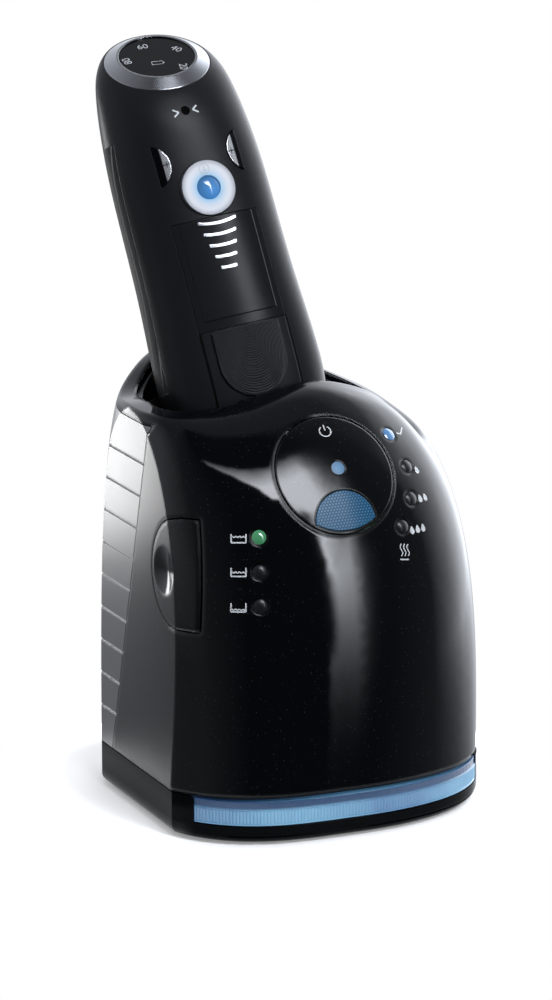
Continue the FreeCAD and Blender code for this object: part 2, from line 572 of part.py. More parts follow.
# ---------------------------------------------------------------- lift button, hinged inside the front corner
HINGE_AT = V(-49.6, -27.5, 95.0)
HINGE_AXIS = V(3.7, 7.9, 36.8).normalize()
HINGE_BARREL, HINGE_PIN, HINGE_HALF = 2.6, 1.3, 16.0
hinge_turn = FreeCAD.Rotation(Z, HINGE_AXIS)
LUG_LENGTH, LUG_GAP = 4.0, 3.4
pin_half = HINGE_HALF + LUG_GAP + LUG_LENGTH


def along_hinge(start, length, radius):
    return cylinder(radius, length, HINGE_AT + HINGE_AXIS * start, HINGE_AXIS)


def lift_shape(grow):
    """The front plate and the half-moon on the flank, as one cutter that grows by the gap."""
    z0, z1 = LIFT_Z - LIFT_HALF_HEIGHT - grow, LIFT_Z + LIFT_HALF_HEIGHT + grow
    low_x, high_x = LIFT_LOW_X + grow, LIFT_HIGH_X + grow
    outline = [(-80, -80, z0), (low_x, -80, z0), (high_x, -80, z1), (-80, -80, z1)]
    front = prism(outline, V(0, 80 + LIFT_CORNER_Y + grow, 0))
    moon_y = LIFT_CORNER_Y + LIFT_REACH - LIFT_HALF_HEIGHT
    moon = cylinder(LIFT_HALF_HEIGHT + grow, 80 + LIFT_MOON_X, V(-80, moon_y, LIFT_Z), X)
    return front.fuse(moon.common(box(-80, LIFT_MOON_X, LIFT_CORNER_Y - 1, 20, z0, z1))).removeSplitter()


lift_skin = skin_inside(LIFT_THICK)
lift_button = outer_skin.common(lift_shape(0.0)).cut(lift_skin)
finger_y = LIFT_CORNER_Y + LIFT_REACH / 2
finger = Part.makeSphere(26.0, V(-57.4 - 26.0 + 1.4, finger_y - 2, LIFT_Z))
lift_button = lift_button.cut(finger)
barrel = along_hinge(-HINGE_HALF, 2 * HINGE_HALF, HINGE_BARREL)
WEB_HALF, WEB_TURN = 10.0, -48.0  # the web runs from the barrel to the middle of the front plate
barrel_web = box(-1.2, 1.2, -8.0, 0, -WEB_HALF, WEB_HALF)
barrel_web.rotate(V(0, 0, 0), Z, WEB_TURN)
barrel_web.Placement = FreeCAD.Placement(HINGE_AT, hinge_turn).multiply(barrel_web.Placement)
web_room = skin_inside(HOUSING_WALL + FIT).fuse(lift_shape(0.0).common(outer_skin))
barrel_web = barrel_web.common(web_room)
lift_button = lift_button.fuse([barrel, barrel_web]).cut(along_hinge(-30, 60, HINGE_PIN + RUNNING_CLEARANCE))
HOOK_X0, HOOK_X1, HOOK_Z0, HOOK_Z1 = -52.4, -50.6, 19.5, 90.0
hook = box(HOOK_X0, HOOK_X1, HOOK_Y0 + 0.6, HOOK_Y1 - 0.6, HOOK_Z0, HOOK_Z1)
hook_arm = box(-60, HOOK_X1, HOOK_Y0 + 0.6, HOOK_Y1 - 0.6, HOOK_Z1 - 6, HOOK_Z1).common(lift_skin)
write("lift_hook", hook.fuse(hook_arm).removeSplitter())
write("lift_button", lift_button)
write("lift_hinge_pin", along_hinge(-pin_half, 2 * pin_half, HINGE_PIN))
lift_hole = lift_shape(LIFT_GAP)
front_shell = front_shell.cut(lift_hole)
for start in (-pin_half, pin_half - LUG_LENGTH):
    lug = along_hinge(start, LUG_LENGTH, HINGE_BARREL)
    arm = box(-1.6, 1.6, -9, 0, start, start + LUG_LENGTH)
    arm.Placement = FreeCAD.Placement(HINGE_AT, hinge_turn)
    lug = lug.fuse(arm.common(outer_skin)).cut([lift_hole, along_hinge(-30, 60, HINGE_PIN)])
    front_shell = front_shell.fuse(lug)

# ---------------------------------------------------------------- dock
BOWL_TAPER = 4.0
BLOCK_GAP = 0.15  # adhesive between the contact block and the wall of the bowl
top_heights = [r[2] - BOWL_DROP for r in RIM]
bowl_outer_top = loop_at(rim_plan(FIT, 1.0), top_heights)
bowl_inner_top = loop_at(rim_plan(FIT + BOWL_WALL, 1.0), top_heights)
bowl_outer_low = loop_at(rim_plan(FIT + BOWL_TAPER, 1.0), [BOWL_FLOOR - BOWL_WALL] * STATIONS)
bowl_inner_low = loop_at(rim_plan(FIT + BOWL_TAPER + BOWL_WALL, 1.0), [BOWL_FLOOR] * STATIONS)
bowl_faces = Part.makeLoft([bowl_outer_low, bowl_outer_top], False, True).Faces
bowl_faces += Part.makeLoft([bowl_outer_top, bowl_inner_top], False, True).Faces
bowl_faces += Part.makeLoft([bowl_inner_low, bowl_inner_top], False, True).Faces
bowl_faces += [Part.Face(bowl_outer_low), Part.Face(bowl_inner_low)]
bowl = closed_solid(bowl_faces)
block_inset = FIT + BOWL_WALL + BLOCK_GAP
block_loops = [loop_at(rim_plan(block_inset + BOWL_TAPER, 1.0), [BOWL_FLOOR + BLOCK_GAP] * STATIONS),
               loop_at(rim_plan(block_inset, 1.0), top_heights),
               loop_at(rim_plan(block_inset, 1.0), [CHIMNEY] * STATIONS)]
block_faces = Part.makeLoft(block_loops, False, True).Faces
block_room = closed_solid(block_faces + [Part.Face(block_loops[0]), Part.Face(block_loops[-1])])

# everything of the shaver and its seat is made upright about the Z axis and then leaned into place
lean_turn = FreeCAD.Rotation(X, -LEAN_BACK).multiply(FreeCAD.Rotation(Y, -LEAN_LEFT))
lean_turn = lean_turn.multiply(FreeCAD.Rotation(Z, -TURN_LEFT))
DOCKED = FreeCAD.Placement(V(SHAVER_X, SHAVER_Y, SHAVER_Z), lean_turn)


def docked(shape):
    placed = shape.copy()
    placed.Placement = DOCKED.multiply(placed.Placement)
    return placed


OVAL_POINTS = 20


def oval(half_x, half_y, z, power=2.7, centre_y=0.0, tilt=0.0):
    points = []
    t = math.radians(tilt)
    for i in range(OVAL_POINTS):
        px, py = superellipse(half_x, half_y, power, 2 * math.pi * (i + 0.5) / OVAL_POINTS)
        points.append(V(px, centre_y + py * math.cos(t), z + py * math.sin(t)))
    return closed_curve(points)


def oval_prism(half_x, half_y, z0, z1, power=2.7):
    return Part.Face(oval(half_x, half_y, z0, power)).extrude(V(0, 0, z1 - z0))


SEAT_HALF_X = 29.6 + CUP_CLEARANCE
SEAT_HALF_Y = 19.2 + CUP_CLEARANCE + 0.8
BATH_HALF_X, BATH_HALF_Y = 29.0, 17.0
SEAT_STEP, SEAT_TOP, CUP_WALL = -18.2, -12.0, 1.6
SHAVER_LOW = SHAVER_SECTIONS[0][0]
cup = oval_prism(SEAT_HALF_X + CUP_WALL, SEAT_HALF_Y + CUP_WALL, SEAT_STEP - CUP_WALL, SEAT_TOP)
cup = cup.fuse(oval_prism(BATH_HALF_X + CUP_WALL, BATH_HALF_Y + CUP_WALL, CUP_BOTTOM - CUP_WALL, SEAT_STEP))
cup_space = oval_prism(SEAT_HALF_X, SEAT_HALF_Y, SEAT_STEP, 70)
cup_space = cup_space.fuse(oval_prism(BATH_HALF_X, BATH_HALF_Y, CUP_BOTTOM, SEAT_STEP))
dock_bowl = bowl.fuse(docked(cup)).cut(docked(cup_space))
dock_bowl = dock_bowl.cut(cylinder(DRAIN_BORE, 40, V(DRAIN_X, DRAIN_Y, 80)))
HOSE_X, HOSE_Y, HOSE_RADIUS, HOSE_BORE = 42.0, 12.0, 2.6, 1.5
dock_bowl = dock_bowl.cut(cylinder(HOSE_BORE, 10, V(HOSE_X, HOSE_Y, BOWL_FLOOR - 5)))
write("dock_bowl", dock_bowl)
seal = oval_prism(SEAT_HALF_X - FIT, SEAT_HALF_Y - FIT, SEAT_STEP, SHAVER_LOW - FIT)
seal = seal.cut(oval_prism(28.3, 14.0, SEAT_STEP - 1, SHAVER_LOW + 1))
write("dock_seal", docked(seal))
DRAIN_Z0, DRAIN_Z1 = 33.0, 110.0
drain = tube(DRAIN_RADIUS, DRAIN_BORE, DRAIN_Z1 - DRAIN_Z0, V(DRAIN_X, DRAIN_Y, DRAIN_Z0))
drain = drain.cut(docked(fuse_all([cup, cup_space])))
drain = sorted(drain.Solids, key=lambda s: s.BoundBox.ZMin)[0]
write("drain_pipe", drain)
COIL_LOW, COIL_HIGH, COIL_THICK = -43.0, -36.5, 3.0
coil_x, coil_y = BATH_HALF_X + CUP_WALL + FIT, BATH_HALF_Y + CUP_WALL + FIT
coil = oval_prism(coil_x + COIL_THICK, coil_y + COIL_THICK, COIL_LOW, COIL_HIGH)
coil = coil.cut(oval_prism(coil_x, coil_y, COIL_LOW - 1, COIL_HIGH + 1))
write("heater_coil", docked(coil).cut(dock_bowl))

# charging contacts on the back wall of the bowl
BLOCK_HALF_X, BLOCK_Y, BLOCK_Z0, BLOCK_Z1 = 9.0, 21.4, 1.0, 11.0
block = box(-BLOCK_HALF_X, BLOCK_HALF_X, BLOCK_Y, BLOCK_Y + 20, BLOCK_Z0, BLOCK_Z1)
CONTACT_RADIUS, CONTACT_LENGTH, CONTACT_SPACING = 1.4, 7.0, 9.0
CONTACT_Y, CONTACT_Z = 19.7, 6.0
contacts_at = [V(side * CONTACT_SPACING / 2, CONTACT_Y, CONTACT_Z) for side in (-1, 1)]
contact_pins = [cylinder(CONTACT_RADIUS, CONTACT_LENGTH, at, Y) for at in contacts_at]
contact_pins = docked(Part.makeCompound(contact_pins))
contact_block = docked(block).common(block_room).cut([contact_pins, dock_bowl])
write("contact_block", contact_block)
write("contact_pins", contact_pins)

# ---------------------------------------------------------------- pump
PUMP_RADIUS, PUMP_Z0, PUMP_Z1 = 14.0, SHELF_Z + 2.4, 58.0
PUMP_WALL = 1.8
MOTOR_RADIUS, MOTOR_Z1 = 11.5, 80.0
SHAFT_RADIUS, IMPELLER_RADIUS, IMPELLER_THICK = 1.5, 10.5, 4.0
pump_at = V(SUCTION_X, SUCTION_Y, PUMP_Z0)
pump_housing = cylinder(PUMP_RADIUS, PUMP_Z1 - PUMP_Z0, pump_at)
pump_housing = pump_housing.cut(cylinder(PUMP_RADIUS - PUMP_WALL, PUMP_Z1 - PUMP_Z0 - 2 * PUMP_WALL,
                                         pump_at + Z * PUMP_WALL))
pump_housing = pump_housing.cut(cylinder(PIPE_RADIUS, 3, pump_at - Z * 0.5))
pump_housing = pump_housing.cut(cylinder(SHAFT_RADIUS + RUNNING_CLEARANCE, 30, pump_at + Z * 5))
OUTLET_Z = 53.0
pump_housing = pump_housing.cut(cylinder(HOSE_RADIUS, 30, V(SUCTION_X + 5, HOSE_Y, OUTLET_Z), X))
write("pump_housing", pump_housing)
motor_at = V(SUCTION_X, SUCTION_Y, PUMP_Z1)
motor = cylinder(MOTOR_RADIUS, MOTOR_Z1 - PUMP_Z1, motor_at)
motor = motor.cut(cylinder(SHAFT_RADIUS + RUNNING_CLEARANCE, MOTOR_Z1 - PUMP_Z1 - 3, motor_at))
write("pump_motor", motor)
shaft_foot = PUMP_Z0 + PUMP_WALL + 1.6
shaft = cylinder(SHAFT_RADIUS, MOTOR_Z1 - 4 - shaft_foot, V(SUCTION_X, SUCTION_Y, shaft_foot))
impeller = cylinder(3.2, IMPELLER_THICK, V(SUCTION_X, SUCTION_Y, shaft_foot))
VANES = 6
for k in range(VANES):
    vane = box(2.0, IMPELLER_RADIUS, -0.6, 0.6, shaft_foot, shaft_foot + IMPELLER_THICK)
    vane.rotate(V(0, 0, 0), Z, 360.0 / VANES * k)
    vane.translate(V(SUCTION_X, SUCTION_Y, 0))
    impeller = impeller.fuse(vane)
bore = cylinder(SHAFT_RADIUS, 60, V(SUCTION_X, SUCTION_Y, 30))
write("pump_impeller", impeller.cut(bore))
write("pump_shaft", shaft)
suction = tube(PIPE_RADIUS, PIPE_BORE, PUMP_Z0 + PUMP_WALL - 9, V(SUCTION_X, SUCTION_Y, 9))
write("suction_pipe", suction)
seal_z = CARTRIDGE_TOP + CARTRIDGE_COVER + FIT
pipe_seals = [tube(PIPE_RADIUS + 3, PIPE_RADIUS, 3, V(SUCTION_X, SUCTION_Y, seal_z)),
              tube(DRAIN_RADIUS + 3, DRAIN_RADIUS, 3, V(DRAIN_X, DRAIN_Y, seal_z))]
write("pipe_seals", Part.makeCompound(pipe_seals))

# delivery hose: out of the side of the pump, round one bend and up to the bowl
BEND = 7.0
chamber_reach = math.sqrt((PUMP_RADIUS - PUMP_WALL) ** 2 - (HOSE_Y - SUCTION_Y) ** 2)
hose_start = V(SUCTION_X + chamber_reach, HOSE_Y, OUTLET_Z)
bend_in = V(HOSE_X - BEND, HOSE_Y, OUTLET_Z)
bend_mid = V(HOSE_X - BEND * (1 - math.sqrt(0.5)), HOSE_Y, OUTLET_Z + BEND * (1 - math.sqrt(0.5)))
bend_out = V(HOSE_X, HOSE_Y, OUTLET_Z + BEND)
hose_end = V(HOSE_X, HOSE_Y, BOWL_FLOOR - BOWL_WALL)
route = Part.Wire([Part.LineSegment(hose_start, bend_in).toShape(),
                   Part.Arc(bend_in, bend_mid, bend_out).toShape(),
                   Part.LineSegment(bend_out, hose_end).toShape()])


def hose_pipe(radius):
    section = Part.Wire([Part.Edge(Part.Circle(hose_start, X, radius))])
    return route.makePipeShell([section], True, True)


write("delivery_hose", hose_pipe(HOSE_RADIUS).cut(hose_pipe(HOSE_BORE)))

# main board at the back, above the power socket
board_y = BASE_HALF_DEPTH - HOUSING_WALL - 8.0
main_board = box(-24, 24, board_y, board_y + BOARD_THICK, SOCKET_Z + SOCKET_HALF_Z + FIT, 106)
chips = [box(-12, 2, board_y - 2.4, board_y, 60, 74), box(8, 18, board_y - 8, board_y, 84, 98)]
write("main_board", main_board.fuse(chips))

write("rear_shell", rear_shell)
write("front_shell", front_shell)


# ---------------------------------------------------------------- shaver
def shaver_body(inset, extend=0.0):
    """The shaver's outside, moved in by inset. The ends move by extend along the axis."""
    loops = []
    for z, half_x, half_y, tilt, power in SHAVER_SECTIONS:
        loops.append(oval(half_x - inset, half_y - inset, z, power, 0.0, tilt))
    first = SHAVER_SECTIONS[0]
    if extend:
        loops[0] = oval(first[1] - inset, first[2] - inset, first[0] - extend, first[4])
    return Part.makeLoft(loops, True, False)


DISPLAY_Z = SHAVER_SECTIONS[-1][0]
tilt_angle = math.radians(DISPLAY_TILT)
DISPLAY_NORMAL = V(0, -math.sin(tilt_angle), math.cos(tilt_angle))
DISPLAY_AT = V(0, 0, DISPLAY_Z)
body = shaver_body(0.0)
hollow = shaver_body(SHAVER_WALL, 0.1)
DISPLAY_BORE = DISPLAY_RADIUS - 2.6
display_bore = cylinder(DISPLAY_BORE, 10, DISPLAY_AT - DISPLAY_NORMAL * 8, DISPLAY_NORMAL)
case = body.cut([hollow, display_bore])
panel_region = box(-PANEL_HALF_WIDTH, PANEL_HALF_WIDTH, -40, -8, PANEL_LOW, PANEL_HIGH)
panel_gap = 0.2
panel_hole = box(-PANEL_HALF_WIDTH - panel_gap, PANEL_HALF_WIDTH + panel_gap, -40, -8,
                 PANEL_LOW - panel_gap, PANEL_HIGH + panel_gap)
front_panel = case.common(panel_region)
case = case.cut(panel_hole)

# power button with its lens
power_line = body.common(Part.makeLine(V(0, -60, POWER_Z), V(0, 0, POWER_Z)))
power_skin_y = min(v.Point.y for v in power_line.Vertexes)
POWER_PROUD, POWER_DEPTH, LENS_BORE = 0.9, 4.0, 4.3
power_face = V(0, power_skin_y - POWER_PROUD, POWER_Z)
power_button = tube(POWER_RADIUS, LENS_BORE, POWER_DEPTH, power_face, Y)
power_lens = cylinder(LENS_BORE, POWER_DEPTH - 1, power_face + Y * 0.6, Y)
dome = Part.makeSphere(8.0, power_face + Y * 7.2)
dome = dome.common(cylinder(LENS_BORE, 3, power_face - Y * 1.2, Y))
power_lens = power_lens.fuse(dome).removeSplitter()
case = case.cut(cylinder(POWER_RADIUS + FIT, 30, V(0, -40, POWER_Z), Y))
write("shaver_power_button", docked(power_button))
write("shaver_power_lens", docked(power_lens))

# crescent buttons each side of the display end
CRESCENT_X, CRESCENT_Z, CRESCENT_RADIUS, CRESCENT_WIDTH = 13.2, 79.5, 8.0, 4.6
proud = shaver_body(-0.7)
under = shaver_body(2.6, 0.1)


def crescent(side, grow):
    """A D-shaped button: a disc that bulges towards the middle, cut off by a straight outer edge."""
    centre = V(side * (CRESCENT_X + CRESCENT_RADIUS - CRESCENT_WIDTH / 2), -40, CRESCENT_Z)
    disc = cylinder(CRESCENT_RADIUS + grow, 40, centre, Y)
    x0, x1 = sorted([0, side * (CRESCENT_X + CRESCENT_WIDTH / 2 + grow)])
    return disc.common(box(x0, x1, -60, 0, CRESCENT_Z - 20, CRESCENT_Z + 20))


for side, name in ((-1, "shaver_left_setting_button"), (1, "shaver_right_setting_button")):
    button = proud.common(crescent(side, 0.0)).cut(under)
    case = case.cut(crescent(side, FIT))
    write(name, docked(button))

# silver bars on the panel: arcs that widen towards the power button
BAR_THICK, BAR_PITCH, BAR_COUNT, BAR_ARC = 1.1, 4.0, 5, 26.0
bar_skin = shaver_body(-0.35)
bars = []
for k in range(BAR_COUNT):
    z = PANEL_HIGH - 2.4 - BAR_PITCH * k
    half = 7.2 - 1.05 * k
    ring = tube(BAR_ARC + BAR_THICK / 2, BAR_ARC - BAR_THICK / 2, 40, V(0, -40, z + BAR_ARC), Y)
    bars.append(ring.common(box(-half, half, -40, -8, z - 2, z + 8)))
panel_bars = bar_skin.common(Part.makeCompound(bars)).cut(body)
write("shaver_panel_bars", docked(panel_bars))
write("shaver_front_panel", docked(front_panel))

# trimmer slider: a tongue proud of the case with a stem through a slot
SLIDER_PROUD, SLIDER_TRAVEL, SLOT_HALF = 1.1, 8.0, 2.5
tip = cylinder(SLIDER_HALF_WIDTH, 40, V(0, -40, SLIDER_LOW + SLIDER_HALF_WIDTH), Y)
tongue = box(-SLIDER_HALF_WIDTH, SLIDER_HALF_WIDTH, -40, 0, SLIDER_LOW + SLIDER_HALF_WIDTH, SLIDER_HIGH)
slider_skin = shaver_body(-SLIDER_PROUD)
slider_under = shaver_body(-FIT)
slider = slider_skin.common(tip.fuse(tongue)).cut(slider_under)
slider = slider.common(box(-30, 30, -40, 0, -40, 60))
STEM_Z0, STEM_Z1 = 8.0, 14.0
stem = box(-SLOT_HALF + FIT, SLOT_HALF - FIT, -20.0, -12.5, STEM_Z0, STEM_Z1)
slider = slider.fuse(stem)
case = case.cut(box(-SLOT_HALF, SLOT_HALF, -40, -8, STEM_Z0 - SLIDER_TRAVEL - FIT, STEM_Z1 + FIT))
write("shaver_trimmer_slider", docked(slider))

# grips along both sides
GRIP_Y0, GRIP_Y1, GRIP_Z0, GRIP_Z1, GRIP_THICK = -6.0, 9.0, 2.0, 92.0, 1.4
GRIP_BED = 0.06  # adhesive under the grips
grip_zone = box(-60, 60, GRIP_Y0, GRIP_Y1, GRIP_Z0, GRIP_Z1).cut(box(-18, 18, -60, 60, -60, 200))
grip_zone = grip_zone.common(body)
grips = grip_zone.cut(shaver_body(GRIP_THICK - GRIP_BED, 0.1))
case = case.cut(grip_zone.cut(shaver_body(GRIP_THICK, 0.1)))
write("shaver_side_grips", docked(grips))
write("shaver_front_case", docked(case.common(box(-60, 60, -60, SHAVER_SPLIT_Y, -60, 200))))
write("shaver_rear_case", docked(case.common(box(-60, 60, SHAVER_SPLIT_Y, 60, -60, 200))))

# display
bezel_cone = Part.makeCone(DISPLAY_RADIUS, GLASS_RADIUS + 0.8, BEZEL_HEIGHT, DISPLAY_AT, DISPLAY_NORMAL)
bezel = bezel_cone.cut(cylinder(GLASS_RADIUS, 20, DISPLAY_AT - DISPLAY_NORMAL * 5, DISPLAY_NORMAL))
LEDGE_DEPTH, LEDGE_WIDTH = 2.0, 1.5
ledge_at = DISPLAY_AT - DISPLAY_NORMAL * LEDGE_DEPTH
bezel_ledge = tube(DISPLAY_BORE, GLASS_RADIUS - LEDGE_WIDTH, LEDGE_DEPTH, ledge_at, DISPLAY_NORMAL)
bezel = bezel.fuse(bezel_ledge)
glass = cylinder(GLASS_RADIUS, BEZEL_HEIGHT - 0.5, DISPLAY_AT, DISPLAY_NORMAL)
write("shaver_display_bezel", docked(bezel))
write("shaver_display_glass", docked(glass))

# inside the shaver
DRIVE_TOP = 26.0
battery = cylinder(7.0, 50, V(-8, 5, DRIVE_TOP + FIT), Z)
write("shaver_battery", docked(battery))
shaver_board = box(4, 5.6, -12, 12, DRIVE_TOP + FIT, 96)
write("shaver_board", docked(shaver_board))
NECK_Z0, NECK_THICK = SHAVER_LOW, 2.4
NECK_FIT = SHAVER_WALL + 0.1
neck_x, neck_y = SHAVER_SECTIONS[0][1] - NECK_FIT, SHAVER_SECTIONS[0][2] - NECK_FIT
neck_plate = oval_prism(neck_x, neck_y, NECK_Z0, NECK_Z0 + NECK_THICK)
PIVOT_Z, HEAD_PIN_RADIUS = -25.0, 1.5
fork = box(-14, 14, -4, 4, PIVOT_Z - 3.0, NECK_Z0)
neck_frame = neck_plate.fuse(fork)
pivot_bar = cylinder(HEAD_PIN_RADIUS, 2 * (HEAD_HALF_WIDTH - 0.6), V(-HEAD_HALF_WIDTH + 0.6, 0, PIVOT_Z), X)
neck_frame = neck_frame.fuse(pivot_bar)
RAIL_X, RAIL_THICK, RAIL_HALF_Y, RAIL_TOP = 20.4, 1.6, 8.0, 30.0
for rail_x in (-RAIL_X - RAIL_THICK, RAIL_X):
    rail = box(rail_x, rail_x + RAIL_THICK, -RAIL_HALF_Y, RAIL_HALF_Y, NECK_Z0 + NECK_THICK, RAIL_TOP)
    neck_frame = neck_frame.fuse(rail)
write("shaver_neck_frame", docked(neck_frame))
drive = box(-12, 12, -9, 9, NECK_Z0 + NECK_THICK, DRIVE_TOP)
write("shaver_drive_motor", docked(drive))
HEAD_WALL = 1.8
HEAD_POWER = 3.4
foil_base_z = HEAD_BOTTOM + 5
head_inner_x, head_inner_y = HEAD_HALF_WIDTH - HEAD_WALL, HEAD_HALF_THICK - HEAD_WALL
head = oval_prism(HEAD_HALF_WIDTH, HEAD_HALF_THICK, foil_base_z, HEAD_TOP, HEAD_POWER)
head = head.cut(oval_prism(head_inner_x, head_inner_y, foil_base_z - 1, HEAD_TOP + 1, HEAD_POWER))
head = head.cut(cylinder(HEAD_PIN_RADIUS + RUNNING_CLEARANCE, 80, V(-40, 0, PIVOT_Z), X))
write("shaver_head_frame", docked(head))
FOIL_RADIUS, FOIL_SPACING = 3.3, 7.2
FOIL_BASE, FOIL_END, FOIL_SIDE = 3.0, 3.0, 3.2
foil_x, foil_y = head_inner_x - FIT, HEAD_HALF_THICK - FOIL_SIDE
foils = [box(-foil_x, foil_x, -foil_y, foil_y, foil_base_z, foil_base_z + FOIL_BASE)]
for k in (-1, 0, 1):
    start = V(FOIL_END - HEAD_HALF_WIDTH, k * FOIL_SPACING, foil_base_z)
    foils.append(cylinder(FOIL_RADIUS, 2 * (HEAD_HALF_WIDTH - FOIL_END), start, X))
foil_space = oval_prism(HEAD_HALF_WIDTH - 0.5, HEAD_HALF_THICK - 0.5, HEAD_BOTTOM - 5, foil_base_z)
foil_inner = oval_prism(head_inner_x - FIT, head_inner_y - FIT, foil_base_z, foil_base_z + 6, HEAD_POWER)
foil_cassette = fuse_all(foils).common(foil_space.fuse(foil_inner))
write("shaver_foil_cassette", docked(foil_cassette))
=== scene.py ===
# %% [markdown]
# A shaver cleaning station with its shaver standing head down in the bowl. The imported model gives
# every part its true shape and place. This lesson gives the parts their finishes, adds the small
# printed signs, the ribbed window and the display, and lights the whole in a small white studio.

# %% Load the model
import math

import bmesh
import bpy
from mathutils import Euler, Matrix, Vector
from mathutils.bvhtree import BVHTree


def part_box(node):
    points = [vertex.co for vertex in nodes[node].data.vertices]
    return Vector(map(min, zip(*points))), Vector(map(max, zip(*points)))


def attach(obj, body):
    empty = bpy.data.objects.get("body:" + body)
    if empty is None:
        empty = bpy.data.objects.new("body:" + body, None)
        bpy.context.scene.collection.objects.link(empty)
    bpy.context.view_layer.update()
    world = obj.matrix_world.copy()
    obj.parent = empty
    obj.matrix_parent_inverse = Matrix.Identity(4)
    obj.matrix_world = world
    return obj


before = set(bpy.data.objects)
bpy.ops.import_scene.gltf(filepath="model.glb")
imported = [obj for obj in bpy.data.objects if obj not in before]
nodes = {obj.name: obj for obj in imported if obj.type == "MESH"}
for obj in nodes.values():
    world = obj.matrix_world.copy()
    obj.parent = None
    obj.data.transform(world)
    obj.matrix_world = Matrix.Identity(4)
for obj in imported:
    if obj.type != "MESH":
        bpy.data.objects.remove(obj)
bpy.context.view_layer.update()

MM = 0.001

# %% [markdown]
# The picture is taken from the left and a little above, with a long lens, so that upright edges stay
# nearly upright. A camera object looks along its own -Z, so its turn is built from the direction that
# it looks in. The lens is long because the camera stands a metre and a half away from a small object.

# %% Camera
CAMERA_AZIMUTH = math.radians(-25)
CAMERA_ELEVATION = math.radians(15)
CAMERA_DISTANCE = 1.5
AIM = Vector((-15.4, -22.65, 114.6)) * MM

towards_camera = Vector((
    math.sin(CAMERA_AZIMUTH) * math.cos(CAMERA_ELEVATION),
    -math.cos(CAMERA_AZIMUTH) * math.cos(CAMERA_ELEVATION),
    math.sin(CAMERA_ELEVATION)))
camera_data = bpy.data.cameras.new("studio_camera")
camera = bpy.data.objects.new("studio_camera", camera_data)
bpy.context.scene.collection.objects.link(camera)
camera.location = AIM + towards_camera * CAMERA_DISTANCE
camera.rotation_euler = towards_camera.to_track_quat("Z", "Y").to_euler()
camera_data.sensor_fit = "VERTICAL"
camera_data.sensor_height = 36
camera_data.lens = 155
bpy.context.scene.camera = camera
bpy.context.scene.view_settings.view_transform = "Standard"
print("camera at", [round(v, 3) for v in camera.location])

# %% [markdown]
# Polished black plastic has almost no colour of its own: what the eye sees is the room, mirrored in
# it. So the lamps are split in two kinds. Wide soft panels light the colours and are left out of the
# reflections, and narrow panels stand just behind the object, where its flanks mirror them as the
# pale outlines of a studio picture. No lamp is seen by the camera itself.

# %% Studio lamps
def panel_lamp(name, at, aim, width, height, watts, mirrored=False):
    """A rectangular soft lamp at one point, facing another, sizes in metres."""
    data = bpy.data.lights.new(name, "AREA")
    data.shape = "RECTANGLE"
    data.size, data.size_y = width, height
    data.energy = watts
    lamp = bpy.data.objects.new(name, data)
    bpy.context.scene.collection.objects.link(lamp)
    lamp.location = at
    lamp.rotation_euler = (Vector(at) - Vector(aim)).to_track_quat("Z", "Y").to_euler()
    lamp.visible_camera = False
    lamp.visible_glossy = mirrored


panel_lamp("overhead", (0.0, 0.1, 1.5), (0, 0, 0), 1.4, 1.2, 7)
panel_lamp("front_fill", (-0.5, -1.2, 0.8), (0, 0, 0.1), 0.9, 0.9, 5)
panel_lamp("left_edge", (-0.168, 0.34, 0.11), (-0.06, 0.05, 0.1), 0.07, 0.2, 0.34, True)
print("studio lamps placed")

# %% [markdown]
# Shader sums read best when they look like sums. A small class wraps a socket of a node tree, and its
# operators add Math nodes, so that a mask can be written as 1 - edge * 2. One method adds any other
# node: its settings first, then the values or links of its sockets.

# %% Shader sums
class Value:
    """The output of a node, which can be added to, multiplied and compared as a number can."""

    def __init__(self, tree, socket):
        self.tree, self.socket = tree, socket

    def sum_node(self, operation, *others, clamp=False):
        node = self.tree.nodes.new("ShaderNodeMath")
        node.operation = operation
        node.use_clamp = clamp
        for slot, item in zip(node.inputs, (self,) + others):
            if isinstance(item, Value):
                self.tree.links.new(item.socket, slot)
            else:
                slot.default_value = item
        return Value(self.tree, node.outputs[0])

    def reversed_sum(self, operation, first):
        node = self.tree.nodes.new("ShaderNodeMath")
        node.operation = operation
        node.inputs[0].default_value = first
        self.tree.links.new(self.socket, node.inputs[1])
        return Value(self.tree, node.outputs[0])

    def __add__(self, other):
        return self.sum_node("ADD", other)

    def __sub__(self, other):
        return self.sum_node("SUBTRACT", other)

    def __mul__(self, other):
        return self.sum_node("MULTIPLY", other)

    def __truediv__(self, other):
        return self.sum_node("DIVIDE", other)

    def __neg__(self):
        return self.sum_node("MULTIPLY", -1.0)

    __radd__ = __add__
    __rmul__ = __mul__

    def __rsub__(self, other):
        return self.reversed_sum("SUBTRACT", other)

    def __rtruediv__(self, other):
        return self.reversed_sum("DIVIDE", other)

    def __pow__(self, other):
        return self.sum_node("POWER", other)

    def __lt__(self, other):
        return self.sum_node("LESS_THAN", other)

    def __gt__(self, other):
        return self.sum_node("GREATER_THAN", other)

    def __mod__(self, other):
        return self.sum_node("FLOORED_MODULO", other)

    def __abs__(self):
        return self.sum_node("ABSOLUTE")

    def sine(self):
        return self.sum_node("SINE")

    def root(self):
        return self.sum_node("SQRT")

    def least(self, other):
        return self.sum_node("MINIMUM", other)

    def most(self, other):
        return self.sum_node("MAXIMUM", other)

    def rise(self, low, high):
        """0 below low, 1 above high, and a straight slope between them. high may be the lower one."""
        scaled = (self - low) * (1.0 / (high - low))
        return scaled.sum_node("ADD", 0.0, clamp=True)


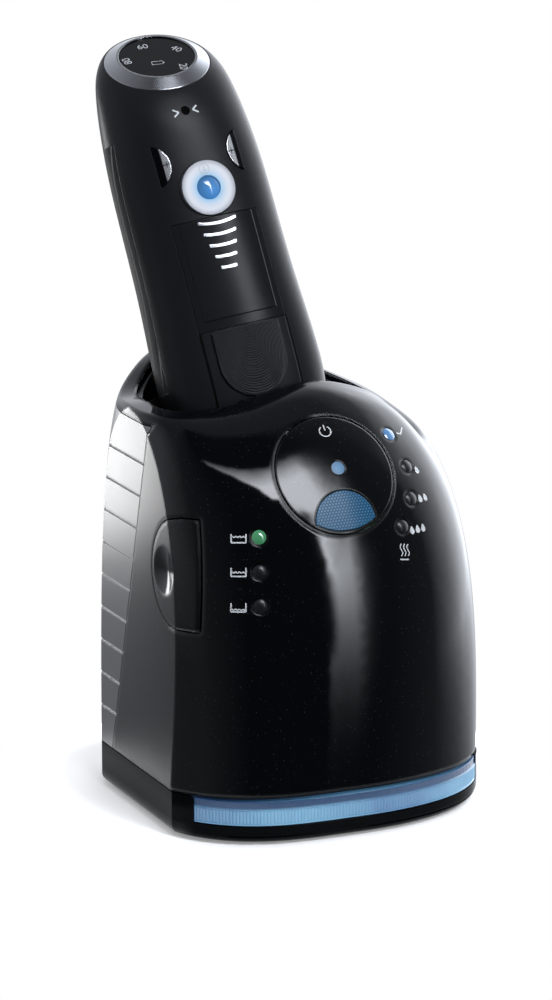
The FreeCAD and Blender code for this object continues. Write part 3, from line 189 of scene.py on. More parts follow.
class Finish:
    """A material with one Principled shader, built up node by node."""

    def __init__(self, name, color=(0.5, 0.5, 0.5), roughness=0.4, **numbers):
        self.material = bpy.data.materials.new(name)
        self.material.use_nodes = True
        self.tree = self.material.node_tree
        self.shader = self.tree.nodes["Principled BSDF"]
        self.set("Base Color", (*color, 1.0))
        self.set("Roughness", roughness)
        for socket, number in numbers.items():
            self.set(socket.replace("_", " "), number)

    def set(self, socket, item):
        """Sets a socket of the shader to a number, a colour or a Value."""
        self.connect(self.shader.inputs[socket], item)

    def connect(self, slot, item):
        if isinstance(item, Value):
            self.tree.links.new(item.socket, slot)
        else:
            slot.default_value = item

    def add(self, kind, settings=None, inputs=None, output=0):
        """Any other node. Inputs are named, or numbered where two share a name."""
        node = self.tree.nodes.new("ShaderNode" + kind)
        for key, setting in (settings or {}).items():
            setattr(node, key, setting)
        for key, item in (inputs or {}).items():
            self.connect(node.inputs[key], item)
        return Value(self.tree, node.outputs[output])

    def place(self, centre=(0, 0, 0), turn=(0, 0, 0)):
        """The object coordinates in millimetres, measured from a centre and along turned axes."""
        metres = self.add("TexCoord", output="Object")
        return self.add("Mapping", {"vector_type": "TEXTURE"},
                        {"Vector": metres, "Location": Vector(centre) * MM,
                         "Rotation": turn, "Scale": (MM, MM, MM)})

    def split(self, vector):
        node = self.tree.nodes.new("ShaderNodeSeparateXYZ")
        self.tree.links.new(vector.socket, node.inputs[0])
        return [Value(self.tree, out) for out in node.outputs]

    def noise(self, where, scale, detail=2.0):
        return self.add("TexNoise", {"noise_dimensions": "3D"},
                        {"Vector": where, "Scale": scale, "Detail": detail, "Roughness": 0.5}, "Fac")

    def blend(self, factor, first, second):
        """A colour between two others. Either may be a colour or a link."""
        first = first if isinstance(first, Value) else (*first, 1.0)
        second = second if isinstance(second, Value) else (*second, 1.0)
        return self.add("Mix", {"data_type": "RGBA"}, {0: factor, 6: first, 7: second}, 2)

    def bump(self, height, distance, rounding=None):
        """Height from 0 to 1, worth distance millimetres, over edges that may be rounded first."""
        inputs = {"Strength": 1.0, "Distance": distance * MM, "Height": height}
        if rounding is not None:
            inputs["Normal"] = soften(self, rounding)
        self.set("Normal", self.add("Bump", None, inputs))

    def on(self, *names):
        for name in names:
            paint(nodes[name], self)


def paint(piece, finish):
    """Puts one finish on all of a piece."""
    piece.data.materials.clear()
    piece.data.materials.append(finish.material)


print("shader tools ready")

# %% [markdown]
# The floor is a small white mat with rounded corners. Near the object it keeps the shadow, and a glow
# that grows towards its rim lifts it to the white of the room, so that the rim can't be seen. The room
# is white at the back and the sides, dark behind the camera, and has one tall soft window at the front
# right. The window is drawn by direction: a crisp left edge that leans over at the top, and a slower
# fade to the right and below.

# %% Floor and room
FLOOR_HALF_WIDTH, FLOOR_HALF_DEPTH = 0.092, 0.098
FLOOR_GLOW = 0.22
WINDOW_POWER, PANEL_POWER = 25, 3.2
WINDOW_FADE = 2.2


def rays(tree, *kinds):
    """1 for rays of these kinds, 0 for the others."""
    path = tree.nodes.new("ShaderNodeLightPath")
    total = Value(tree, path.outputs["Is %s Ray" % kinds[0]])
    for kind in kinds[1:]:
        total = total + Value(tree, path.outputs["Is %s Ray" % kind])
    return total.least(1.0)


floor_mesh = bmesh.new()
rim = bmesh.ops.create_circle(floor_mesh, cap_ends=True, segments=96, radius=1.0)["verts"]
for vertex in rim:
    x, y = vertex.co.x, vertex.co.y
    vertex.co.x = math.copysign(abs(x) ** 0.5, x) * FLOOR_HALF_WIDTH
    vertex.co.y = math.copysign(abs(y) ** 0.5, y) * FLOOR_HALF_DEPTH
floor_data = bpy.data.meshes.new("floor")
floor_mesh.to_mesh(floor_data)
floor_mesh.free()
floor = bpy.data.objects.new("floor", floor_data)
bpy.context.scene.collection.objects.link(floor)
floor_white = Finish("floor_white", (0.8, 0.8, 0.803), 0.6, Specular_IOR_Level=0.1)
x, y, z = floor_white.split(floor_white.place())
outward = ((abs(x) * (MM / FLOOR_HALF_WIDTH)) ** 4 + (abs(y) * (MM / FLOOR_HALF_DEPTH)) ** 4) ** 0.25
looked_at = rays(floor_white.tree, "Camera", "Glossy", "Transmission")
shine = (outward.rise(0.78, 0.99) * 0.8 + FLOOR_GLOW) * looked_at
glow = floor_white.add("Emission", None, {"Strength": shine})
lit = Value(floor_white.tree, floor_white.shader.outputs[0])
lifted = floor_white.add("AddShader", None, {0: glow, 1: lit})
floor_white.connect(floor_white.tree.nodes["Material Output"].inputs["Surface"], lifted)
paint(floor, floor_white)

room = bpy.data.worlds.new("white_room")
bpy.context.scene.world = room
room.use_nodes = True
sky = room.node_tree
background = sky.nodes["Background"]
direction = sky.nodes.new("ShaderNodeTexCoord")
parts = sky.nodes.new("ShaderNodeSeparateXYZ")
sky.links.new(direction.outputs["Generated"], parts.inputs[0])
to_right, to_back, to_top = [Value(sky, out) for out in parts.outputs]
DEGREE = math.pi / 180
azimuth = to_right.sum_node("ARCTAN2", -to_back) * (1 / DEGREE)
height = to_top.sum_node("ARCSINE") * (1 / DEGREE)
behind = abs(azimuth).rise(60, 100)
walls = behind * height.rise(65, 35) * height.rise(-13, 5) * 0.9
right_panel = azimuth.rise(60, 98) * azimuth.rise(152, 132) * height.rise(48, 33) * height.rise(-23, -11) ** 2
leaning_edge = 18.8 - height * 0.052 - (height - 33).most(0.0) * 1.33
inside = (azimuth - leaning_edge).rise(0.0, 0.8)
soft_edge = 19.3 - height * 0.04 + height.rise(20, 34) * 4
fading = ((soft_edge - azimuth).least(0.0) * (1 / WINDOW_FADE)).sum_node("EXPONENT")
tall = height.rise(-20, 14) ** 2 * height.rise(63, 51)
window = inside * fading * tall
dim = abs(azimuth).rise(25, 70) * 0.3 + 0.05
mirrored = dim + walls + right_panel * PANEL_POWER + window * WINDOW_POWER
softer = 1 - rays(sky, "Diffuse") * 0.55
white_back = behind * height.rise(45, 35) * height.rise(-16, 2)
seen = rays(sky, "Camera") + rays(sky, "Glossy", "Transmission") * white_back
sky.links.new((mirrored * softer).most(seen.least(1.0)).socket, background.inputs["Strength"])
tint = sky.nodes.new("ShaderNodeMix")
tint.data_type = "RGBA"
tint.inputs[6].default_value = (0.94, 0.98, 1.05, 1)
tint.inputs[7].default_value = (1, 1, 1, 1)
sky.links.new(rays(sky, "Camera").socket, tint.inputs[0])
sky.links.new(tint.outputs[2], background.inputs["Color"])
print("room and floor ready")

# %% [markdown]
# The housing is polished black with a faint glitter of metal dust under its skin. Each grain is the
# middle of one cell of a Voronoi pattern, kept only where the cell's own random shade is high. A
# Bevel node rounds the edges in the light only, because the model's edges are exact and sharp. The two
# flat flanks are satin instead of polished, so they get more roughness and a hazy coat.

# %% Black plastics
FLANK_DRAFT = 0.03
FLANK_FOOT = 59.8 + 17 * FLANK_DRAFT
EDGE = 0.3


def soften(finish, radius):
    return finish.add("Bevel", {"samples": 6}, {"Radius": radius * MM})


def polished_black(name, rounding=1.0, specular=0.25, roughness=0.04, grains=0.22):
    depth = (0.0009, 0.0011, 0.0016)
    finish = Finish(name, depth, roughness, Specular_IOR_Level=specular)
    where = finish.place()
    cells = {"Vector": where, "Scale": 0.8}
    near = finish.add("TexVoronoi", {"feature": "F1"}, cells, "Distance")
    shade = finish.split(finish.add("TexVoronoi", {"feature": "F1"}, cells, "Color"))[0]
    grain = near.rise(0.16, 0.06) * (shade > 0.55) * grains
    finish.set("Base Color", finish.blend(grain, depth, (0.10, 0.12, 0.13)))
    across, back, up = finish.split(where)
    flank = (abs(across) + up * FLANK_DRAFT - FLANK_FOOT).rise(-0.25, -0.05)
    finish.set("Roughness", finish.noise(where, 0.12) * 0.03 + (roughness - 0.015) + flank * 0.22)
    finish.set("Coat Weight", flank * up.rise(-10, 115) * back.rise(-35, 22))
    finish.set("Coat Roughness", 0.3)
    finish.set("Normal", soften(finish, rounding))
    return finish


def moulded(name, color, roughness, texture=3.0, depth=0.015, **numbers):
    """Plastic or rubber with a fine spark-eroded grain, sized in grains per millimetre."""
    finish = Finish(name, color, roughness, **numbers)
    where = finish.place()
    grain = finish.noise(where, texture, 3.0)
    cloud = finish.noise(where, 0.06)
    darker = tuple(0.86 * c for c in color)
    finish.set("Base Color", finish.blend(cloud.rise(0.3, 0.7), darker, color))
    finish.set("Roughness", cloud * 0.08 + (roughness - 0.04))
    finish.bump(grain, depth, EDGE)
    return finish


shell_black = polished_black("housing_black", 2.2)
button_black = polished_black("button_black", roughness=0.1, grains=0.3)
bowl_black = polished_black("bowl_black", 0.4, roughness=0.12, grains=0.0)
base_black = polished_black("base_black", 0.4, 0.03, roughness=0.14, grains=0.1)
shell_black.on("front_shell", "lift_button")
button_black.on("start_button")
bowl_black.on("dock_bowl")
across, back, up = base_black.split(base_black.place())
base_black.set("Coat Weight", up.rise(7.0, 1.0) * abs(across).rise(55.0, 58.0) * 0.5)
base_black.on("base_tray")
moulded("rear_black", (0.012, 0.0125, 0.015), 0.3, 2.0, 0.01,
        Coat_Weight=1.0, Coat_Roughness=0.3).on("rear_shell")
moulded("inner_grey", (0.05, 0.05, 0.055), 0.5).on(
    "chassis_frame", "power_socket", "latch_catch", "lift_hook", "drain_pipe", "contact_block",
    "pump_housing", "suction_pipe", "shaver_neck_frame")
moulded("rubber_black", (0.014, 0.014, 0.015), 0.8, 5.0, 0.03).on("foot_ring", "dock_seal", "pipe_seals")
moulded("bush_white", (0.72, 0.71, 0.67), 0.45).on("guide_bushes", "pump_impeller")
moulded("hose_grey", (0.42, 0.43, 0.45), 0.5).on("delivery_hose")
moulded("board_green", (0.02, 0.13, 0.05), 0.35).on("main_board", "display_boards", "shaver_board")
moulded("cap_blue", (0.45, 0.55, 0.7), 0.4).on("cartridge_cover")
moulded("cell_sleeve", (0.12, 0.2, 0.16), 0.4).on("shaver_battery")
print("black and moulded finishes done")

# %% [markdown]
# Rods, screws and springs are plain steel. Drawn or turned steel shows fine lines round its axis, so
# its noise is stretched flat: many times finer along Z than across it.

# %% Metals
def steel(name, color, roughness, lines=2.5):
    finish = Finish(name, color, roughness, Metallic=1.0)
    flat = finish.add("Mapping", None, {"Vector": finish.place(), "Scale": (0.15, 0.15, lines)})
    streak = finish.noise(flat, 1.0, 4.0)
    finish.set("Roughness", streak * 0.16 + (roughness - 0.08))
    finish.set("Base Color", finish.blend(streak.rise(0.3, 0.7), tuple(0.85 * c for c in color), color))
    finish.set("Normal", soften(finish, 0.15))
    return finish


steel("rod_steel", (0.62, 0.63, 0.65), 0.22).on("guide_rods", "lift_hinge_pin", "pump_shaft", "lift_springs")
steel("zinc_steel", (0.5, 0.51, 0.54), 0.38).on(
    "rod_screws", "housing_screws", "pump_motor", "shaver_drive_motor")
steel("contact_gold", (0.85, 0.62, 0.25), 0.25).on("contact_pins", "socket_pins")
steel("heater_metal", (0.55, 0.55, 0.57), 0.35).on("heater_coil")

foil = Finish("foil_steel", (0.68, 0.69, 0.71), 0.25, Metallic=1.0)
pore = foil.add("TexVoronoi", {"feature": "F1"}, {"Vector": foil.place(), "Scale": 1.5, "Randomness": 0.1},
                "Distance")
# painted shade: each pore is coloured nearly black, the shade inside the opening, and the bump dips it
pore_with_painted_shade = pore.rise(0.34, 0.26)
foil.set("Base Color", foil.blend(pore_with_painted_shade, (0.68, 0.69, 0.71), (0.03, 0.03, 0.035)))
foil.bump(1 - pore_with_painted_shade, 0.05)
foil.on("shaver_foil_cassette")

felt = Finish("filter_felt", (0.75, 0.77, 0.8), 0.95)
felt.bump(felt.noise(felt.place(), 4.0, 5.0), 0.3)
felt.on("cartridge_filter")
print("metal finishes done")

# %% [markdown]
# The shaver leans in its dock, so its patterns need its own axes. The three angles turn an upright
# shaver into its docked pose. A Mapping node of the Texture type takes that pose away again, and
# gives millimetres along the shaver: X to its right, Y to its back, Z from the collar to the display.

# %% Axes of the shaver
SHAVER_AT = Vector((-9.5, 19.0, 146.9))
SHAVER_LEAN = Euler([math.radians(a) for a in (-22.0, -6.2, -6.0)], "ZYX").to_matrix()
SHAVER_TURN = SHAVER_LEAN.to_euler("XYZ")


def on_shaver(x, y, z):
    """A point given on the upright shaver in millimetres, as a point of the scene in metres."""
    return (SHAVER_AT + SHAVER_LEAN @ Vector((x, y, z))) * MM


def shaver_axes(finish, centre=(0, 0, 0)):
    """The three coordinates along the shaver, in millimetres from a point on it."""
    at = SHAVER_AT + SHAVER_LEAN @ Vector(centre)
    return finish.split(finish.place(at, SHAVER_TURN))


print("shaver axis", [round(v, 3) for v in SHAVER_LEAN @ Vector((0, 0, 1))])

# %% [markdown]
# The case of the shaver is charcoal with a silky surface. Its front has two moulded seams that carry the
# edges of the panel down to the collar. They are drawn as narrow dips: a bump for the shape and a darker
# colour, painted shade, since light hardly reaches the bottom of a seam. The small hole between the
# arrow signs is drawn the same way: a dip with a black disc of painted shade.

# %% Shaver case and panel
CHARCOAL = (0.006, 0.0062, 0.0074)
PANEL_EDGE = 16.3
PANEL_FOOT = 18.6
SEAM_WIDTH = 0.5
HOLE_HEIGHT, HOLE_RADIUS = 97.0, 1.6


def silky(name, color, roughness, grain=0.012):
    finish = Finish(name, color, roughness, Specular_IOR_Level=0.1)
    where = finish.place()
    finish.grain = finish.noise(where, 6.0, 2.0)
    finish.set("Roughness", finish.noise(where, 0.08) * 0.06 + (roughness - 0.03))
    return finish


case = silky("case_charcoal", CHARCOAL, 0.34)
across, back, along = shaver_axes(case)
seam = abs(abs(across) - PANEL_EDGE).rise(SEAM_WIDTH, SEAM_WIDTH * 0.5) * (along < PANEL_FOOT) * (back < 0.0)
above_hole = along - HOLE_HEIGHT
from_hole = (across * across + above_hole * above_hole).root()
hole = from_hole.rise(HOLE_RADIUS + 0.1, HOLE_RADIUS - 0.1) * (back < 0.0)
# painted shade: the seams and the small hole are coloured black, and the same mask dips the bump
dip_and_painted_shade = seam.most(hole)
case.set("Base Color", case.blend(dip_and_painted_shade, CHARCOAL, (0.0, 0.0, 0.0)))
case.set("Roughness", hole.most(0.34))
case.bump(case.grain * 0.03 - dip_and_painted_shade, 0.3, EDGE)
case.on("shaver_front_case", "shaver_rear_case")

panel = silky("panel_charcoal", (0.0066, 0.0068, 0.008), 0.2)
across, back, along = shaver_axes(panel)
inner_edge = (abs(across).rise(13.6, 13.9) * 1.0).most((along - 3.2).rise(PANEL_FOOT + 0.6, PANEL_FOOT + 0.2))
panel.bump(panel.grain * 0.02 - inner_edge, 0.35, EDGE)
panel.on("shaver_front_panel")
print("case and panel done")

# %% [markdown]
# The thumb pad of the trimmer is covered with nested arcs. They all shrink towards the middle of its
# upper edge, so one number can name them all: how far out a point lies towards the pad's outline.
# A sine of that number makes the ridges.

# %% Thumb pad
PAD_HALF_WIDTH, PAD_LENGTH, PAD_TOP, PAD_RIDGES = 12.6, 24.6, 17.6, 27
pad = silky("pad_charcoal", (0.013, 0.0135, 0.015), 0.3)
across, back, along = shaver_axes(pad, (0, 0, PAD_TOP))
outward = ((abs(across) * (1 / PAD_HALF_WIDTH)) ** 2.5 + (abs(along) * (1 / PAD_LENGTH)) ** 2.5) ** 0.4
ridge = (outward * (2 * math.pi * PAD_RIDGES)).sine() * 0.5 + 0.5
pad.bump(ridge * outward.rise(0.99, 0.96), 0.28, EDGE)
pad.on("shaver_trimmer_slider")
print("thumb pad done")

# %% [markdown]
# The grips are soft rubber shaped in long overlapping waves that run down the side. The waves are a
# ramp that starts again every few millimetres round the side, bent by a slow sine along the shaver.

# %% Grips
grip = silky("grip_rubber", (0.014, 0.0145, 0.016), 0.5)
across, back, along = shaver_axes(grip)
bent = (along * (1 / 17.0)).sine() * 2.6 + along * 0.12
wave = ((back + bent + 60.0) * (1 / 6.5)) % 1.0
fold = wave.rise(0.0, 0.86) - wave.rise(0.88, 1.0)
grip.bump(fold + grip.grain * 0.012, 0.9)
grip.on("shaver_side_grips")
print("grips done")

# %% [markdown]
# Silver parts are painted metal: a mirror under a thin haze. The ring of the display is turned and
# smoother, so it shows the room as broad bands. The power button is pearly, with a painted glow of the
# blue lamp in its middle: blue colour and a faint emission that fade with the distance from the lamp,
# and painted shade that darkens its rim. The two setting buttons are bright on the inner half with a
# small cross marked on it; their outer half is painted black, painted shade where the gap beside them
# lies in shadow.

# %% Silver parts and display
def silver(name, color, roughness):
    finish = Finish(name, color, roughness, Metallic=1.0)
    where = finish.place()
    finish.set("Roughness", finish.noise(where, 1.5, 4.0) * 0.06 + (roughness - 0.03))
    finish.set("Normal", soften(finish, EDGE))
    return finish


silver("silver_paint", (0.5, 0.51, 0.54), 0.24).on("shaver_panel_bars")
silver("ring_metal", (0.24, 0.245, 0.26), 0.2).on("shaver_display_bezel")

SETTING_HEIGHT, SETTING_CROSS, MARK_WIDTH = 79.5, 12.3, 0.22
setting = silver("setting_silver", (0.74, 0.75, 0.78), 0.24)
across, back, along = shaver_axes(setting, (0, 0, SETTING_HEIGHT))
# painted shade: the outer half is coloured black, where the gap beside the button lies in shadow; the cross
# below is print
outer_half_shade = abs(across).rise(13.4, 13.7)
level_mark = abs(along).rise(MARK_WIDTH, MARK_WIDTH / 2)
upright_mark = abs(abs(across) - SETTING_CROSS).rise(MARK_WIDTH, MARK_WIDTH / 2) * (abs(along) < 1.1)
shade_and_cross_print = outer_half_shade.most(level_mark).most(upright_mark)
setting.set("Base Color", setting.blend(shade_and_cross_print, (0.74, 0.75, 0.78), (0.01, 0.01, 0.012)))
setting.on("shaver_left_setting_button", "shaver_right_setting_button")

POWER_HEIGHT = 68.2
pearl = Finish("power_pearl", (0.45, 0.46, 0.5), 0.42, Metallic=0.1)
across, back, along = shaver_axes(pearl, (0, 0, POWER_HEIGHT))
from_lamp = (across * across + along * along).root()
# painted glow of the blue lamp: blue colour and faint emission, fading with the distance from the lamp
painted_lamp_glow = from_lamp.rise(7.4, 4.2) ** 1.4
# painted shade: the rim of the button is coloured darker
rim = pearl.blend(from_lamp.rise(8.0, 9.8), (0.44, 0.455, 0.49), (0.2, 0.21, 0.24))
pearl.set("Base Color", pearl.blend(painted_lamp_glow, rim, (0.16, 0.32, 0.46)))
pearl.set("Emission Color", pearl.blend(painted_lamp_glow, (0.0, 0.0, 0.0), (0.006, 0.035, 0.075)))
pearl.set("Emission Strength", 1.0)
pearl.set("Normal", soften(pearl, 0.4))
pearl.on("shaver_power_button")

glass = Finish("display_black", (0.0015, 0.0015, 0.002), 0.05, Specular_IOR_Level=0.12)
glass.set("Roughness", glass.noise(glass.place(), 0.2) * 0.02 + 0.04)
glass.on("shaver_display_glass")
moulded("head_black", (0.012, 0.0125, 0.014), 0.3, 3.0, 0.01).on("shaver_head_frame")
print("silver and display done")

# %% [markdown]
# Small lamps shine through tinted caps. A lit cap gives off its own colour, strongest where the lamp
# stands behind it and weaker at its rim. Unlit caps are smoked, nearly black, and only catch the room.

# %% Lamp caps
def lit_cap(name, color, glow, centre=None, reach=2.5):
    finish = Finish(name, color, 0.16, Coat_Weight=0.4)
    finish.set("Emission Strength", 1.0)
    if centre is None:
        finish.set("Emission Color", (*glow, 1.0))
        return finish
    x, y, z = finish.split(finish.place(centre))
    middle = (x * x + y * y + z * z).root().rise(reach * 1.25, reach * 0.2)
    finish.set("Emission Color", finish.blend(middle, tuple(0.35 * g for g in glow), glow))
    finish.set("Base Color", finish.blend(middle, tuple(0.6 * c for c in color), color))
    return finish


def middle_of(name):
    low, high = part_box(name)
    return (Vector(low) + Vector(high)) / 2 / MM


POWER_LAMP = Vector((0.5, -2.0, -1.0))
for part, name, color, glow, aside, reach in (
        ("level_lens_full", "cap_green", (0.05, 0.2, 0.09), (0.014, 0.1, 0.042), Vector(), 4.0),
        ("status_lens_ready", "cap_blue_ready", (0.08, 0.18, 0.34), (0.03, 0.09, 0.2), Vector(), 4.0),
        ("start_button_lens", "cap_blue_start", (0.08, 0.16, 0.26), (0.034, 0.095, 0.18), Vector(), 2.6),
        ("shaver_power_lens", "cap_blue_power", (0.05, 0.16, 0.34), (0.02, 0.10, 0.27), POWER_LAMP, 4.4)):
    lit_cap(name, color, glow, middle_of(part) + aside, reach).on(part)

smoked = Finish("cap_smoked", (0.006, 0.007, 0.009), 0.3, Specular_IOR_Level=0.2, Coat_Weight=0.08)
smoked.set("Normal", soften(smoked, EDGE))
smoked.on("level_lenses_low", "status_lenses_cycle")
clear_resin = Finish("resin_clear", (0.6, 0.63, 0.66), 0.1, Coat_Weight=0.5)
clear_resin.bump(clear_resin.noise(clear_resin.place(), 1.0), 0.02)
clear_resin.on("indicator_leds")
print("lamp caps done")

# %% [markdown]
# The half-moon button is clear blue with rows of tiny lenses moulded behind it. Two sets of rows, one
# shifted by half a step, make the honeycomb: each point asks how near the middle of a cell it lies.

# %% Half-moon button
CELL = 1.15
moon = Finish("half_moon_blue", (0.02, 0.09, 0.20), 0.22, Specular_IOR_Level=0.12)
x, y, z = moon.split(moon.place((0, 0, 0), Euler((math.radians(-31), 0, 0))))


def cell_distance(shift):
    u = (x + shift) % CELL - CELL / 2
    v = (z + shift * math.sqrt(3)) % (CELL * math.sqrt(3)) - CELL * math.sqrt(3) / 2
    return (u * u + v * v).root()


dot = cell_distance(0.0).least(cell_distance(CELL / 2)).rise(0.5, 0.22)
moon.set("Base Color", moon.blend(dot, (0.006, 0.034, 0.075), (0.03, 0.11, 0.2)))
moon.set("Emission Color", moon.blend(dot, (0.001, 0.007, 0.015), (0.007, 0.028, 0.055)))
moon.set("Emission Strength", 1.0)
moon.set("Normal", soften(moon, 0.35))
moon.on("fast_clean_button")
print("half-moon done")

# %% [markdown]
# The cartridge is moulded in clear blue. Light gathers in it, so it glows pale blue in the middle of
# the window and falls to a deep blue at the ends and along the top.

# %% Cartridge
def clear_blue(name):
    finish = Finish(name, (0.08, 0.22, 0.5), 0.2, Coat_Weight=0.4)
    x, y, z = finish.split(finish.place())
    ends = abs(x - 8.0).rise(56.0, 12.0)
    upper = z.rise(14.2, 12.6)
    light = ends * 0.65 + upper * 0.35
    finish.set("Base Color", finish.blend(light, (0.015, 0.04, 0.10), (0.09, 0.21, 0.32)))
    finish.set("Emission Color", finish.blend(light, (0.004, 0.012, 0.03), (0.025, 0.07, 0.115)))
    finish.set("Emission Strength", 1.0)
    return finish


window_blue = clear_blue("cartridge_blue")
window_blue.set("Normal", soften(window_blue, EDGE))
window_blue.on("cartridge_tub")
print("cartridge done")

# %% [markdown]
# The signs are printed on curved skins. Each is drawn flat first, in millimetres, out of ribbons, discs
# and letters. Then every point of it drops onto the skin along the way that the sign looks, by a ray
# against the part's own mesh, and stops a hair above it. So a sign follows any skin and never floats.

# %% Drawing signs
PRINT_LIFT, PRINT_THICK = 0.07, 0.03
DROP_HEIGHT = 6


def skin_of(*names):
    """The surfaces of several parts, ready to be hit by rays."""
    points, faces = [], []
    for name in names:
        mesh = nodes[name].data
        first = len(points)
        points += [vertex.co.copy() for vertex in mesh.vertices]
        faces += [[first + index for index in face.vertices] for face in mesh.polygons]
    return BVHTree.FromPolygons(points, faces)


def straight(start, end, steps=6):
    return [Vector(start).lerp(Vector(end), k / steps) for k in range(steps + 1)]


def arc(centre, radius, first, last, steps=32):
    """Points on an arc. Its angles are in degrees and count from the right, against the clock."""
    turns = [math.radians(first + (last - first) * k / steps) for k in range(steps + 1)]
    return [Vector(centre) + Vector((math.cos(a), math.sin(a))) * radius for a in turns]


def ribbon(sign, line, width):
    """A strip of one width along a line of flat points: a grid, bent to follow it."""
    steps = len(line) - 1
    for vertex in bmesh.ops.create_grid(sign, x_segments=steps, y_segments=1, size=0.5)["verts"]:
        index = round((vertex.co.x + 0.5) * steps)
        ahead = (line[min(index + 1, steps)] - line[max(index - 1, 0)]).normalized()
        aside = Vector((-ahead.y, ahead.x)) * (vertex.co.y * width)
        vertex.co = (*(line[index] + aside), 0.0)


def drop(sign, centre, width, height):
    """A disc whose upper half is drawn out to a point."""
    disc = bmesh.ops.create_circle(sign, cap_ends=True, cap_tris=True, segments=24, radius=1.0)["verts"]
    for vertex in disc:
        above = max(vertex.co.y, 0.0)
        tall = height - width / 2 if above else width / 2
        half_width = width / 2 * (1 - 0.4 * above)
        vertex.co = (centre[0] + vertex.co.x * half_width, centre[1] + vertex.co.y * tall, 0.0)


def letters(sign, words, tall):
    """Plain figures in Blender's own font, turned into a mesh while they are still flat."""
    text = bpy.data.curves.new("figures", "FONT")
    text.body, text.size, text.align_x, text.align_y = words, tall / 0.7, "CENTER", "CENTER"
    drawn = bpy.data.objects.new("figures", text)
    bpy.context.scene.collection.objects.link(drawn)
    bpy.context.view_layer.update()
    flat = bpy.data.meshes.new_from_object(drawn)
    sign.from_mesh(flat)
    bmesh.ops.triangulate(sign, faces=sign.faces[:])
    bpy.data.objects.remove(drawn)
    bpy.data.curves.remove(text)
    bpy.data.meshes.remove(flat)


def lay(sign, name, skin, at, up, finish, body):
    """Drops a flat sign on a skin near one point, with its top towards up, and lets it ride on a body."""
    spot, out = skin.find_nearest(Vector(at) * MM)[:2]
    side = Vector(up).cross(out).normalized()
    upright = out.cross(side)
    for vertex in sign.verts:
        above = spot + (side * vertex.co.x + upright * vertex.co.y) * MM + out * DROP_HEIGHT * MM
        under = skin.ray_cast(above, -out, 2 * DROP_HEIGHT * MM)[0]
        vertex.co = under + out * (PRINT_LIFT * MM)
    bmesh.ops.solidify(sign, geom=sign.faces[:], thickness=PRINT_THICK * MM)
    bmesh.ops.recalc_face_normals(sign, faces=sign.faces[:])
    mesh = bpy.data.meshes.new(name)
    sign.to_mesh(mesh)
    sign.free()
    piece = bpy.data.objects.new(name, mesh)
    bpy.context.scene.collection.objects.link(piece)
    paint(piece, finish)
    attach(piece, body)


def ink(name, color):
    """Printing ink: even, matt, and a little thinner in places."""
    finish = Finish(name, color, 0.5)
    thin = finish.noise(finish.place(), 1.4, 3.0).rise(0.35, 0.65)
    finish.set("Base Color", finish.blend(thin, tuple(0.9 * c for c in color), color))
    return finish


print("sign tools ready")

# %% [markdown]
# Beside the left lamps stand three little trays: full, half full and nearly empty. Beside the right
# lamps stand a tick, then one, two and three drops for how much cleaning is left, and three rising
# waves of warm air for drying. The start button carries the usual open ring with a bar.

# %% Signs on the housing
UP = Vector((0, 0, 1))
sign_ink = ink("sign_ink", (0.46, 0.48, 0.5))
front_skin = skin_of("front_shell")
button_skin = skin_of("start_button")
TRAY_WIDTH, TRAY_HEIGHT, TRAY_LINE, RIPPLE = 5.1, 2.95, 0.5, 0.22


def tray(fluid):
    """An open tray, with the fluid at a share of its height."""
    sign = bmesh.new()
    left, foot, top = -TRAY_WIDTH / 2, -TRAY_HEIGHT / 2, TRAY_HEIGHT / 2
    ribbon(sign, straight((left, top), (left, foot)), TRAY_LINE)
    ribbon(sign, straight((-left, top), (-left, foot)), TRAY_LINE)
    ribbon(sign, straight((left, foot), (-left, foot), 12), TRAY_LINE)
    level = foot + fluid * TRAY_HEIGHT
    surface = [Vector((left + TRAY_WIDTH * k / 24, level + RIPPLE * math.sin(k * math.pi / 3)))
               for k in range(25)]
    ribbon(sign, surface, TRAY_LINE * 0.8)
    return sign


tray_places = [("full", (-38.0, -40.7, 107.9), 0.68), ("half", (-39.5, -43.9, 96.9), 0.45),
               ("low", (-40.8, -46.6, 85.1), 0.25)]
for word, at, fluid in tray_places:
    lay(tray(fluid), "sign_tray_" + word, front_skin, at, UP, sign_ink, "housing")

tick = bmesh.new()
ribbon(tick, straight((-2.5, 0.1), (-0.8, -0.9)), 0.6)
ribbon(tick, straight((-0.95, -0.95), (2.7, 1.0)), 0.6)
lay(tick, "sign_tick", front_skin, (31.5, -25.1, 134.8), UP, sign_ink, "housing")

for count, at in ((1, (33.3, -34.6, 122.9)), (2, (33.0, -40.0, 114.2)), (3, (28.2, -45.9, 104.9))):
    drops = bmesh.new()
    for k in range(count):
        drop(drops, ((k - (count - 1) / 2) * 2.6, -0.4), 2.0, 2.8)
    lay(drops, "sign_drops_%d" % count, front_skin, at, UP, sign_ink, "housing")

heat = bmesh.new()
for k in (-1, 0, 1):
    wave = [Vector((k * 1.4 - 0.5 * math.sin(t * math.pi / 6), 2.1 - t * 0.35)) for t in range(13)]
    ribbon(heat, wave, 0.42)
ribbon(heat, straight((-1.9, -3.3), (1.9, -3.3)), 0.45)
lay(heat, "sign_heat", front_skin, (21.4, -49.5, 99.0), (0.18, 0, 1), sign_ink, "housing")


def power_sign(radius, line):
    sign = bmesh.new()
    ribbon(sign, arc((0, 0), radius, 122, 418), line)
    ribbon(sign, straight((0, radius * 0.15), (0, radius * 1.25)), line)
    return sign


lay(power_sign(2.1, 0.42), "sign_start", button_skin, (0.8, -28.2, 138.8), UP, sign_ink, "start_button")

# %% [markdown]
# On the shaver, two arrow heads point at the small hole between them, a fine ring with a bar and a
# naught is printed on the power button, and plain numbers stand round the edge of the display glass,
# each leaning a little from the outward way, with a little battery in the middle.

